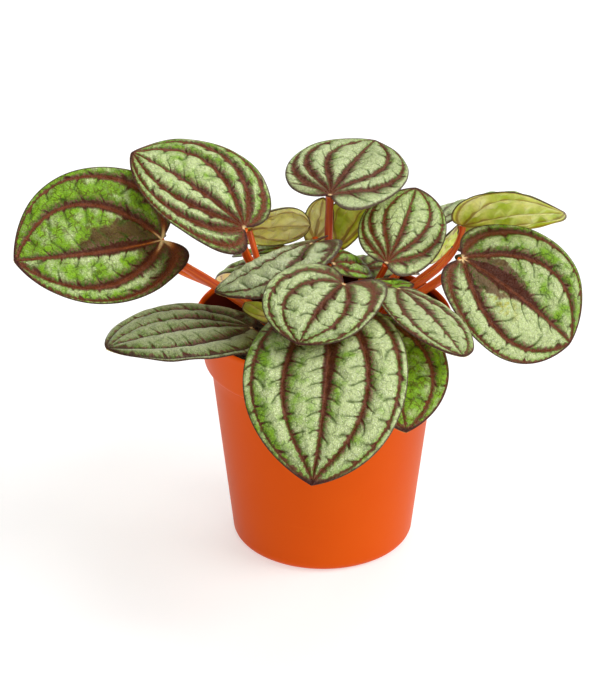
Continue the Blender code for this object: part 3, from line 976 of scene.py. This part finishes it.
    def relief(self, place: BladePlace, veins: BladeVeins) -> Array:
        """Height of the quilted face above the plain blade.

        Args:
            place: Where the points lie.
            veins: The veins beside them.

        Returns:
            Heights in millimetres.
        """
        swell = np.sin(np.pi * place.t)
        arch = np.sin(np.pi * np.clip(veins.share, 0, 1)) ** 0.8
        size = self.panel_size(place) * self.width / 2 * self.PUFF * self.puff
        gap = np.abs(veins.phase - np.rint(veins.phase)) * self.RUNG_STEP
        groove = bell(gap, 0.0, 1.0) * veins.strength * np.minimum(1.0, veins.nearest)
        dome = np.cos(np.pi * np.clip(gap / self.RUNG_STEP, 0, 0.5)) ** 2
        quilt = 0.5 - 0.85 * dome * veins.strength - 0.95 * groove * (1 - 0.35 * arch)
        quilt = quilt * arch ** 0.5 * self.quilt
        bumps = self.grain(place, 3.0, 3.1) * 0.16 + self.grain(place, 7.0, 4.1) * 0.25
        hem = self.grain(place, 11.0, 5.5) * self.HEM_DEPTH - self.HEM_DEPTH
        return (arch * size * swell ** 0.8
                + (quilt + bumps) * np.minimum(1.0, place.edge / self.MARGIN_FADE) * swell ** 0.5
                + hem * np.exp(-place.edge / self.HEM_REACH) * swell)

    def panel_size(self, place: BladePlace) -> Array:
        """Width of the panel that each point lies in.

        Args:
            place: Where the points lie.

        Returns:
            Shares of the half blade, with a largest one.
        """
        result = np.zeros_like(place.v)
        lines = self.lines()
        for low, high in zip(lines[:-1], lines[1:]):
            start, end = (self.spread(place.t, np.full_like(place.t, line)) for line in (low, high))
            inside = (place.v >= start - 1e-9) & (place.v <= end + 1e-9)
            result = np.where(inside, np.minimum(end - start, self.WIDEST_PANEL), result)
        return result

    def shading(self, place: BladePlace, line: float, length: float, side: int) -> Array:
        """Brown shading in the panel beside the midrib.

        Args:
            place: Where the points lie.
            line: The main vein on the panel's other side.
            length: How far the shading runs along the blade.
            side: 1 for the panels with a place across above 0, and -1 for the others.

        Returns:
            Shares from 0 to 1.
        """
        reach = length * (1.40 - 0.85 * place.v / self.spread(place.t, np.full_like(place.t, line)))
        across, limit, fade = side * place.v, side * line, self.WASH_FADE
        return ramp(reach - place.t, -fade, fade) * ramp(-across, -limit - fade, -limit + fade)

    def mark(self, blade: Piece, place: BladePlace, veins: BladeVeins) -> None:
        """Store on the blade what its materials read.

        Args:
            blade: Blade to write to.
            place: Where its points lie.
            veins: The veins beside them.
        """
        t, v = place.t, place.v
        lines = self.lines()
        middle = lines.index(0.0)
        wash_a = self.shading(place, lines[middle + 1], self.wash_a, 1)
        wash_b = self.shading(place, lines[middle - 1], self.wash_b, -1)
        centre = np.hypot(place.across, place.along)
        wash = np.maximum(np.where(v >= 0, wash_a, wash_b), ramp(-centre, -6.0, -1.5) * 0.45)
        glow = self.ember * (0.35 + 0.65 * bell(v * self.half_width(t, v), 0.0, 2.5))
        ember = ramp(-centre / glow, -1.5, -0.35)
        # lit runs across each panel towards the flank that faces the key light; the finishes paint light and
        # shade by it.
        lit = veins.share if float(self.frame()[0] @ np.array(self.LIGHT)) > 0 else 1 - veins.share
        tone = self.tone.value + self.tone_shift * v
        blemish = self.blemish * bell(t, *self.BLEMISH_ALONG) * bell(v, *self.BLEMISH_ACROSS)
        across = place.across + self.PATTERN_SHIFT[0] * self.seed
        store(blade, "blade_place", across, place.along + self.PATTERN_SHIFT[1], t)
        store(blade, "blade_vein", veins.nearest, veins.phase, veins.strength)
        store(blade, "blade_edge", place.edge, wash, centre)
        store(blade, "blade_tone", tone, veins.width, blemish)
        store(blade, "blade_light", lit, ember, np.full_like(t, self.grey_sheen))

    def stalk_path(self) -> Array:
        """Centre line of the stalk from inside the soil to the underside of the blade.

        Returns:
            Points in millimetres.
        """
        up = self.frame()[2]
        start = np.array([*self.root, self.SOIL_HEIGHT])
        base = np.array(self.attach, float)
        lean = 0.6
        share = np.linspace(0.0, 1.0, self.STALK_STEPS + 1)[:, None]
        for _ in range(4):
            end = base - up * (self.THICKNESS * 0.8 + self.stalk[1] * 0.85 * lean)
            way = end - start
            span = np.linalg.norm(way)
            first = start + np.array([0.0, 0.0, 1.0]) * span * self.bow + way * 0.12
            second = end - way * 0.16 - up * span * self.reach
            path = ((1 - share) ** 3 * start + 3 * (1 - share) ** 2 * share * first
                    + 3 * (1 - share) * share ** 2 * second + share ** 3 * end)
            last = path[-1] - path[-2]
            last = last / np.linalg.norm(last)
            lean = math.sqrt(max(0.0, 1.0 - float(last @ up) ** 2))
        foot = start - np.array([0.0, 0.0, self.STALK_DEPTH])
        return np.concatenate([foot[None], path])

    def build_stalk(self, finish: Material) -> Piece:
        """Model the stalk: a fleshy tube that swells at its foot and under the blade.

        Args:
            finish: Material of the stalk.

        Returns:
            The stalk.
        """
        path = self.stalk_path()
        steps = len(path) + 1
        piece, column, row = grid(f"stalk_{self.name}", self.STALK_SIDES, steps)
        tangent = np.gradient(path, axis=0)
        tangent = tangent / np.linalg.norm(tangent, axis=1)[:, None]
        side = np.cross(tangent, [0.31, 0.95, 0.05])
        side = side / np.linalg.norm(side, axis=1)[:, None]
        other = np.cross(tangent, side)
        gone = np.concatenate([[0.0], np.cumsum(np.linalg.norm(np.diff(path, axis=0), axis=1))])
        radius = self.stalk[0] + (self.stalk[1] - self.stalk[0]) * (gone / gone[-1])
        for (swell, length), way in ((self.FOOT_SWELL, gone), (self.TOP_SWELL, gone[-1] - gone)):
            radius = radius + swell * np.exp(-way / length)
        radius = radius * (1 + 0.05 * soft_noise(gone, gone * 0 + self.seed, 6.0, 2.0))
        index = np.clip(row - 1, 0, len(path) - 1)
        cap = (row == 0) | (row == steps)
        angle = math.tau * column / self.STALK_SIDES
        oval = 1 + 0.05 * np.cos(2 * angle + self.seed)
        size = np.where(cap, 0.0, radius[index] * oval)
        points = (path[index] + (size * np.cos(angle))[:, None] * side[index]
                  + (size * np.sin(angle))[:, None] * other[index])
        place_points(piece, points * MM)
        turn = np.cos(angle) * 3.0 + self.STALK_SHIFT * self.seed + np.sin(angle) * 2.0
        store(piece, "stalk_place", turn, gone[index], np.full(len(points), self.dark_stalk))
        weld(piece, self.WELD)
        piece.data.materials.append(finish)
        smooth(piece, 70.0)
        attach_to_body(piece, BODY)
        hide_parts(f"petiole_{self.name}")
        return piece


ONE_VEIN = dict(veins_a=(0.52,), veins_b=(0.52,))
SMALL = dict(stalk=(1.6, 1.25), **ONE_VEIN)
TINY = dict(stalk=(1.4, 1.1), **ONE_VEIN)
BACK = dict(cup=-10, tip=0.5, stalk=(1.7, 1.4), **ONE_VEIN)

LEAVES = [
    Leaf("far_left", (-65, 0.3, 133.4), 223, 5, 70, 63.5, 56, (-15, -4), droop=28, sweep=10, twist=-31,
         tip=0.8, lobe=14, uneven=0.235, lobe_uneven=-0.15, stalk=(2.3, 1.95), reach=0.30,
         veins_a=(0.42, 0.78), veins_b=(0.50, 0.84), tone=Tone.LEAFY, tone_shift=-0.28, fan=1.8,
         streak=0.1, bold=1.3, wash_a=0.46, wash_b=0.16, ember=15.0),
    Leaf("upper_left", (-31.7, -5, 141.2), 160, 38, 24, 56, 52.4, (-9, 7), droop=27, sweep=-3, twist=-20,
         tip=0.75, lobe=8, uneven=0.165, lobe_uneven=-0.15, stalk=(2.2, 1.75), reach=0.36,
         veins_a=(0.34, 0.60, 0.85), veins_b=(0.30, 0.60, 0.86), tone=Tone.SILVER, tone_shift=-0.35),
    Leaf("top", (2.8, 22, 143.6), 75, 2, -5, 54, 50.5, (2, 8), droop=-4, sweep=12, twist=2, lobe=9,
         lobe_uneven=0.35, veins_a=(0.16, 0.40), veins_b=(0.13, 0.32, 0.56), fan=8.0, grey_sheen=0.3,
         dark_stalk=0.6, tone=Tone.PALE),
    Leaf("upper_right", (25.4, 2, 122.3), 69, 12, -14, 47, 36, (9, 8), droop=-12, sweep=-10, twist=5,
         tip=0.6, lobe=4, lobe_uneven=0.6, stalk=(1.8, 1.3), veins_a=(0.16, 0.42),
         veins_b=(0.15, 0.36, 0.60), fan=8.0, tone=Tone.PALE, bold=0.8, puff=0.8, dark_stalk=0.3),
    Leaf("far_right", (55.6, -6, 128.0), -17, -25, -24, 55.5, 58.5, (17, -2), droop=18, sweep=6,
         twist=-20, tip=0.45, lobe=7, uneven=-0.05, stalk=(1.9, 1.5), veins_a=(0.50, 0.88),
         veins_b=(0.42, 0.80), tone=Tone.SILVER, tone_shift=0.40, fan=1.8, streak=1.3, bold=1.15,
         grey_sheen=0.1, wash_a=0.34, wash_b=0.38, ember=2.5, blemish=1.0),
    Leaf("right_rear", (57, 22, 130), -9, 23, 48, 44.8, 44, (15, 6), droop=24, sweep=5, twist=-6,
         cup=10, tip=0.4, lobe=5, uneven=0.07, lobe_uneven=-0.3, stalk=(1.45, 1.1), reach=0.30,
         tone=Tone.LEAFY),
    Leaf("low_left", (-28.8, -22, 104.9), 204, 13, 4, 62.3, 48.5, (-13, -12), fan=1.0, droop=19,
         sweep=-2, twist=-7, tip=0.6, puff=1.8, quilt=0.3, bold=0.6, veins_a=(0.32, 0.66),
         tone=Tone.PALE, grey_sheen=1.0),
    Leaf("inner_left", (-5, -5.2, 134.2), 205, -12, -17, 44, 36, (-6, -4), droop=10, sweep=3, twist=6,
         cup=-25, puff=1.7, quilt=1.5, tip=0.35, lobe=12, uneven=-0.22, stalk=(1.9, 1.5), grey_sheen=0.7,
         tone=Tone.PALE, dark_stalk=0.5),
    Leaf("centre", (7.5, -39, 132.5), -119, 4, 15, 39.5, 43, (5, -12), fan=0.7, droop=36, sweep=-11,
         twist=-3, tip=0.8, lobe=15, uneven=0.10, lobe_uneven=-0.3, stalk=(1.9, 1.5), streak=0.5,
         grey_sheen=0.3, bold=0.85, bow=0.55, reach=0.04, veins_a=(0.50, 0.80), veins_b=(0.42, 0.82),
         tone=Tone.PALE),
    Leaf("low_right", (29.5, -21, 122), -57, -2, 17, 48, 37, (16, -9), droop=20, sweep=-1, twist=2,
         lobe=5, uneven=0.10, stalk=(1.9, 1.5), quilt=0.5, bold=0.8, grey_sheen=0.4, tone=Tone.PALE),
    Leaf("front", (2.5, -37, 121.5), -90, 0, 0, 84, 63.5, (-3, -19), fan=0.5, droop=64, sweep=10.5,
         cup=-4, tip=1.0, lobe=6, uneven=0.02, lobe_uneven=-0.1, stalk=(2.2, 1.9), streak=0.5,
         grey_sheen=0.2, tone_shift=-0.16),
    Leaf("front_right", (17.2, -24, 111), -74, 2, 0, 60, 41, (12, -19), droop=56, tip=0.9, lobe=3,
         twist=1, uneven=-0.17, tone=Tone.GREEN),
    Leaf("rear_left", (-30.5, 15, 131.3), 20, 4, 50, 26, 30, (-21, 12.5), bow=0.1, reach=0.3,
         droop=20, sweep=5, twist=10, tip=0.3, lobe=6, tone=Tone.PALE, blemish=0.8, **SMALL),
    Leaf("rear_small", (-3.3, 29, 121.5), 0, 80, 86, 19, 12.5, (-4, 14), lobe=4, droop=8,
         tone=Tone.SILVER, **TINY),
    Leaf("rear_middle", (6.4, 41, 111.6), 0, 62, 84, 30, 18, (7, 14), lobe=2, droop=8, uneven=0.35,
         tone=Tone.GREEN, **SMALL),
    Leaf("thin_left", (-13.5, 21, 120.8), 145, -16, -10, 31.5, 18, (-11, 15), droop=11, sweep=4,
         twist=6, tone=Tone.MIXED, **SMALL),
    Leaf("inner_small", (4, 0, 123), 32, -6, -19, 21, 18, (3, -1), droop=35, sweep=-5, twist=-4,
         lobe=4, tone=Tone.MIXED, **TINY),
    Leaf("young_left", (-22, -16, 107), 138, 22, -2, 13, 12, (-9, -8), droop=20, sweep=-3, twist=4,
         lobe=4, young=True, tone=Tone.GREEN, **TINY),
    Leaf("inner_right", (13, -10, 116), 12, 6, 0, 24, 16, (9, -4), droop=10, lobe=5, tone=Tone.SHADE,
         **SMALL),
    Leaf("rear_right_high", (45.8, 44, 121), 72, -4, 22, 36, 30, (12, 15), droop=8, twist=3,
         grey_sheen=0.5, stalk=(1.6, 1.3), **ONE_VEIN),
    Leaf("rear_right", (57, 42, 121.5), 118, -47, 21, 31, 24, (19, 11), droop=12, sweep=3, lobe=6,
         tone=Tone.GREEN, **SMALL),
    Leaf("back_left", (-72, 30, 120), 165, 0, -5, 44, 42, (-20, 4), droop=32, lobe=7, bow=0.34, **BACK),
    Leaf("back_right", (59, 17, 119.5), 2, -14, 5, 42, 34, (21, 3), droop=30, bow=0.30, **BACK),
    Leaf("rim_right", (17.2, 34, 104.3), 56, 6, 0, 38, 29, (9, 21), droop=60, lobe=6, **BACK),
    Leaf("rim_middle", (-1.2, 38, 106.5), 93, -2, 0, 42, 23, (0, 23), droop=62, lobe=5, **BACK),
    Leaf("rim_left", (-20, 34, 107), 128, -2, 0, 40, 30, (-9, 20), droop=60, lobe=6, **BACK),
]


@dataclass
class NurseryPot:
    """Thin moulded pot with a tall collar, in metres."""

    rim_radius: float = 0.0525
    height: float = 0.1005
    collar_foot_radius: float = 0.0487
    collar_foot: float = 0.0815
    wall_top_radius: float = 0.0461
    wall_top: float = 0.0797
    foot_radius: float = 0.0372
    corner: float = 0.0045
    corner_steps: int = 6
    middle_radius: float = 0.004
    wall: float = 0.0012
    floor: float = 0.0016
    sides: int = 160
    drain_count: int = 6
    drain_radius: float = 0.0026
    drain_ring: float = 0.0250
    drain_depth: float = 0.008
    drain_sides: int = 32

    def wall_radius(self, height: float) -> float:
        """Outer radius of the wall below the collar, at a height above the foot."""
        return self.foot_radius + (self.wall_top_radius - self.foot_radius) * height / self.wall_top

    def foot_rings(self, height: float) -> list[tuple[float, float]]:
        """Radius and height of the flat rings of the foot, from the middle out."""
        edge = self.wall_radius(self.corner) - self.corner
        return [(self.middle_radius, height), (edge * 0.6, height), (edge, height)]

    def outer_rings(self) -> list[tuple[float, float]]:
        """Radius and height of each ring outside, from the foot's corner up to the rim.

        Returns:
            Pairs in metres.
        """
        corner, centre = self.corner, self.wall_radius(self.corner) - self.corner
        foot, shelf = self.collar_foot_radius, self.collar_foot
        neck, ledge = self.wall_top_radius, self.wall_top
        rim, top = self.rim_radius, self.height
        rings = []
        for number in range(1, self.corner_steps + 1):
            angle = math.radians(90.0 * number / self.corner_steps)
            rings.append((centre + corner * math.sin(angle), corner - corner * math.cos(angle)))
        rings += [(self.wall_radius(height), height) for height in (0.02, 0.04, 0.06, 0.074)]
        return rings + [
            (neck - 0.00005, ledge - 0.0009), (neck + 0.0003, ledge - 0.0001),
            (foot - 0.0011, ledge + 0.0007), (foot - 0.0003, shelf - 0.0006), (foot, shelf),
            (foot + 0.0002, shelf + 0.0010),
            (rim - 0.0007, top - 0.0045), (rim - 0.0004, top - 0.0025), (rim, top - 0.0016),
            (rim, top - 0.0007), (rim - 0.0003, top - 0.0001),
        ]

    def inner_rings(self) -> list[tuple[float, float]]:
        """Radius and height of each ring from the top of the rim down to the inner corner.

        Returns:
            Pairs in metres.
        """
        foot, shelf = self.collar_foot_radius - self.wall, self.collar_foot
        neck, ledge = self.wall_top_radius - self.wall, self.wall_top
        rim, top = self.rim_radius - self.wall, self.height
        rings = [
            (self.rim_radius - 0.0007, top), (rim, top - 0.0003), (rim - 0.0002, top - 0.0010),
            (rim - 0.0007, top - 0.0030), (rim - 0.0015, top - 0.0060), (foot + 0.0002, shelf + 0.0018),
            (foot - 0.0004, shelf + 0.0006), (neck + 0.0002, ledge + 0.0001), (neck, ledge - 0.0010),
        ]
        rings += [(self.wall_radius(height) - self.wall, height) for height in (0.06, 0.035, 0.012)]
        return rings + [(self.wall_radius(self.corner) - self.wall - 0.0008, self.corner)]

    def build(self, finish: Material) -> Piece:
        """Model the pot ring by ring, drill its drain holes and dress it.

        Args:
            finish: Material of the pot.

        Returns:
            The pot.
        """
        rings = self.foot_rings(0.0) + self.outer_rings() + self.inner_rings()
        rings += reversed(self.foot_rings(self.floor))
        deselect()
        bpy.ops.mesh.primitive_circle_add(vertices=self.sides, radius=rings[0][0], fill_type="NGON",
                                          location=(0.0, 0.0, rings[0][1]))
        pot = bpy.context.active_object
        pot.name = "nursery_pot"
        pot.data.name = pot.name
        bpy.ops.object.transform_apply(location=True, rotation=True, scale=True)
        bpy.ops.object.mode_set(mode="EDIT")
        bpy.ops.mesh.select_mode(type="EDGE")
        bpy.ops.mesh.select_all(action="SELECT")
        bpy.ops.mesh.region_to_loop()
        for (radius, height), (wider, higher) in zip(rings[:-1], rings[1:]):
            bpy.ops.mesh.extrude_edges_move(TRANSFORM_OT_translate={"value": (0.0, 0.0, higher - height)})
            factor = wider / radius
            bpy.ops.transform.resize(value=(factor, factor, 1.0), center_override=(0.0, 0.0, higher))
        bpy.ops.mesh.edge_face_add()
        bpy.ops.mesh.select_all(action="SELECT")
        bpy.ops.mesh.normals_make_consistent(inside=False)
        bpy.ops.object.mode_set(mode="OBJECT")
        for number in range(self.drain_count):
            self.drill(pot, math.tau * (number + 0.5) / self.drain_count)
        self.mark_inside(pot)
        pot.data.materials.append(finish)
        smooth(pot, 40.0)
        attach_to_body(pot, BODY)
        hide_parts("pot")
        return pot

    def mark_inside(self, pot: Piece) -> None:
        """Store how far each point lies down the inner wall, which the finish darkens with painted shade.

        Args:
            pot: Pot to write to.
        """
        spots = coordinates(pot)
        radii, heights = zip(*self.outer_rings())
        reach = np.interp(spots[:, 2], heights, radii)
        inner = (reach - np.hypot(spots[:, 0], spots[:, 1])) > 0.6 * self.wall
        depth = ramp(self.height - spots[:, 2], 0.0006, 0.0040) * inner
        store(pot, "pot_side", depth, depth, depth)

    def drill(self, pot: Piece, angle: float) -> None:
        """Cut one drain hole through the floor.

        Args:
            pot: Pot to cut.
            angle: Place of the hole on its ring, in radians.
        """
        place = (self.drain_ring * math.cos(angle), self.drain_ring * math.sin(angle), 0.0)
        deselect()
        bpy.ops.mesh.primitive_cylinder_add(vertices=self.drain_sides, radius=self.drain_radius,
                                            depth=self.drain_depth, location=place)
        drill = bpy.context.active_object
        cut = pot.modifiers.new("drain", "BOOLEAN")
        cut.operation = "DIFFERENCE"
        cut.object = drill
        apply_modifier(pot, "drain")
        bpy.data.objects.remove(drill, do_unlink=True)


@dataclass
class PottingSoil:
    """Moist peat that fills the pot, with loose crumbs on top, in metres.

    Each wave of the surface is bumps per metre, a seed and a height.
    """

    top: float = 0.0855
    radius: float = 0.0462
    foot: float = 0.0700
    foot_radius: float = 0.0430
    waves: tuple[Triple, ...] = ((70, 1.5, 0.0011), (380, 4.5, 0.0008), (1100, 9.5, 0.0004))
    rings: int = 46
    wall_rings: int = 2
    sides: int = 120
    weld_distance: float = 0.000002
    crumbs: int = 520
    crumb_size: float = 0.0005
    crumb_spread: float = 0.0011
    crumb_margin: float = 0.0012
    seed: int = 11

    def surface(self, x: float, y: float) -> float:
        """Height of the soil surface at a place, in metres."""
        bumps = (size * noise.noise(Vector((x * rate, y * rate, seed))) for rate, seed, size in self.waves)
        return sum(bumps, self.top)

    def build(self, finish: Material) -> Piece:
        """Model the soil and scatter its crumbs.

        Args:
            finish: Material of the soil.

        Returns:
            The soil.
        """
        bed, column, row = grid("peat_soil", self.sides, self.rings)
        angle = math.tau * column / self.sides
        share = np.clip((row - self.wall_rings) / (self.rings - self.wall_rings), 0.0, 1.0)
        on_top = row >= self.wall_rings
        reach = np.where(on_top, self.radius * (1 - share), self.foot_radius * np.minimum(row, 1))
        x = reach * np.cos(angle)
        y = reach * np.sin(angle)
        height = np.where(on_top, [self.surface(a, b) for a, b in zip(x, y)], self.foot)
        place_points(bed, np.stack([x, y, height], -1))
        weld(bed, self.weld_distance)
        smooth(bed, 60.0)
        crumbs = self.scatter()
        activate(bed)
        for crumb in crumbs:
            crumb.select_set(True)
        bpy.ops.object.join()
        bed.data.materials.append(finish)
        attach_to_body(bed, BODY)
        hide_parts("soil")
        return bed

    def scatter(self) -> list[Piece]:
        """Lay crumbs of many sizes on the surface.

        Returns:
            The crumbs, each with its own mesh.
        """
        dice = np.random.default_rng(self.seed)
        deselect()
        bpy.ops.mesh.primitive_ico_sphere_add(subdivisions=2, radius=1.0)
        model = bpy.context.active_object
        ball = coordinates(model)
        result = []
        for number in range(self.crumbs):
            size = self.crumb_size + self.crumb_spread * dice.random() ** 3
            reach = (self.radius - self.crumb_margin) * math.sqrt(dice.random())
            angle = dice.uniform(0, math.tau)
            x, y = reach * math.cos(angle), reach * math.sin(angle)
            shape = ball * dice.uniform(0.6, 1.25, 3) * dice.uniform(0.78, 1.18, (len(ball), 1))
            turn = dice.uniform(0, math.tau)
            spun = shape @ np.array([[math.cos(turn), -math.sin(turn), 0.0],
                                     [math.sin(turn), math.cos(turn), 0.0], [0.0, 0.0, 1.0]])
            crumb = model
            if number:
                crumb = model.copy()
                crumb.data = model.data.copy()
                bpy.context.scene.collection.objects.link(crumb)
            place_points(crumb, spun * size + np.array([x, y, self.surface(x, y) + size * 0.35]))
            result.append(crumb)
        return result


@dataclass
class Studio:
    """Pale floor, soft lights and the camera, in metres and degrees.

    Each light has its name, the direction from the plant to it, the angle that it fills and its
    strength in watts per square metre.
    """

    distance: float = 1.100
    elevation: float = 26.95
    aim_height: float = 0.0839
    offset: float = -0.0095
    focal_pixels: float = 2682.4
    picture_height: float = 700.0
    sensor_width: float = 36.0
    floor_size: float = 30.0
    floor_drop: float = 0.0001
    floor_grey: Colour = (0.60, 0.60, 0.60)
    floor_glow: float = 0.50
    sky_strength: float = 0.16
    white: Colour = (1.0, 1.0, 1.0)
    lights: tuple[tuple[str, Triple, float, float], ...] = (
        ("key", (0.85, -0.25, 0.80), 40.0, 2.1),
        ("front", (-0.05, -0.80, 0.55), 60.0, 1.05),
        ("back", (0.20, 0.60, 1.00), 50.0, 1.5))

    def build(self) -> None:
        """Set up the floor, the lights, the surroundings and the camera."""
        self.add_floor()
        for name, towards, spread, power in self.lights:
            self.add_light(name, towards, spread, power)
        self.add_sky()
        self.add_camera()
        view = bpy.context.scene.view_settings
        view.view_transform = "Standard"
        view.look = "None"

    def add_floor(self) -> None:
        """Pale floor that isn't part of the object."""
        deselect()
        bpy.ops.mesh.primitive_plane_add(size=self.floor_size, location=(0.0, 0.0, -self.floor_drop))
        floor = bpy.context.active_object
        floor.name = "studio_floor"
        floor.data.materials.append(Graph("floor_finish").dress(
            Base_Color=self.floor_grey, Roughness=0.9, Specular_IOR_Level=0.0,
            Emission_Color=self.white, Emission_Strength=self.floor_glow))

    def add_light(self, name: str, towards: Triple, spread: float, power: float) -> None:
        """Add a broad soft light that is even over the whole floor.

        Args:
            name: Name of the light.
            towards: Direction from the plant to the light.
            spread: Angle that the light fills, in degrees.
            power: Strength in watts per square metre.
        """
        light = bpy.data.lights.new(name, "SUN")
        light.angle = math.radians(spread)
        light.energy = power
        lamp = bpy.data.objects.new(name, light)
        bpy.context.scene.collection.objects.link(lamp)
        lamp.location = towards
        lamp.rotation_euler = Vector(towards).to_track_quat("Z", "Y").to_euler()

    def add_sky(self) -> None:
        """Even pale light from all round."""
        world = bpy.data.worlds.new("studio_sky")
        world.use_nodes = True
        sky = world.node_tree.nodes["Background"]
        sky.inputs["Color"].default_value = (*self.white, 1.0)
        sky.inputs["Strength"].default_value = self.sky_strength
        bpy.context.scene.world = world

    def add_camera(self) -> None:
        """Camera at the photograph's viewing angle."""
        lens = bpy.data.cameras.new("camera")
        camera = bpy.data.objects.new("camera", lens)
        bpy.context.scene.collection.objects.link(camera)
        lens.sensor_width = self.sensor_width
        lens.lens = lens.sensor_width * self.focal_pixels / self.picture_height
        tilt = math.radians(self.elevation)
        target = Vector((self.offset, 0.0, self.aim_height))
        camera.location = target + self.distance * Vector((0.0, -math.cos(tilt), math.sin(tilt)))
        camera.rotation_euler = (target - camera.location).to_track_quat("-Z", "Y").to_euler()
        bpy.context.scene.camera = camera


def main() -> None:
    """Build the potted peperomia piece by piece."""
    logging.basicConfig(level=logging.INFO, format="%(message)s")
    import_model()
    upper = UpperFinish().make()
    under = UnderFinish().make()
    flesh = StalkFinish().make()
    pot = NurseryPot().build(PotFinish().make())
    LOG.info("%s: %d faces", pot.name, len(pot.data.polygons))
    soil = PottingSoil().build(SoilFinish().make())
    LOG.info("%s: %d faces", soil.name, len(soil.data.polygons))
    for number, leaf in enumerate(LEAVES):
        leaf.seed = number + 1
        for piece in (leaf.build_blade((upper, under)), leaf.build_stalk(flesh)):
            LOG.info("%s: %d faces", piece.name, len(piece.data.polygons))
    Studio().build()


if __name__ == "__main__":
    main()
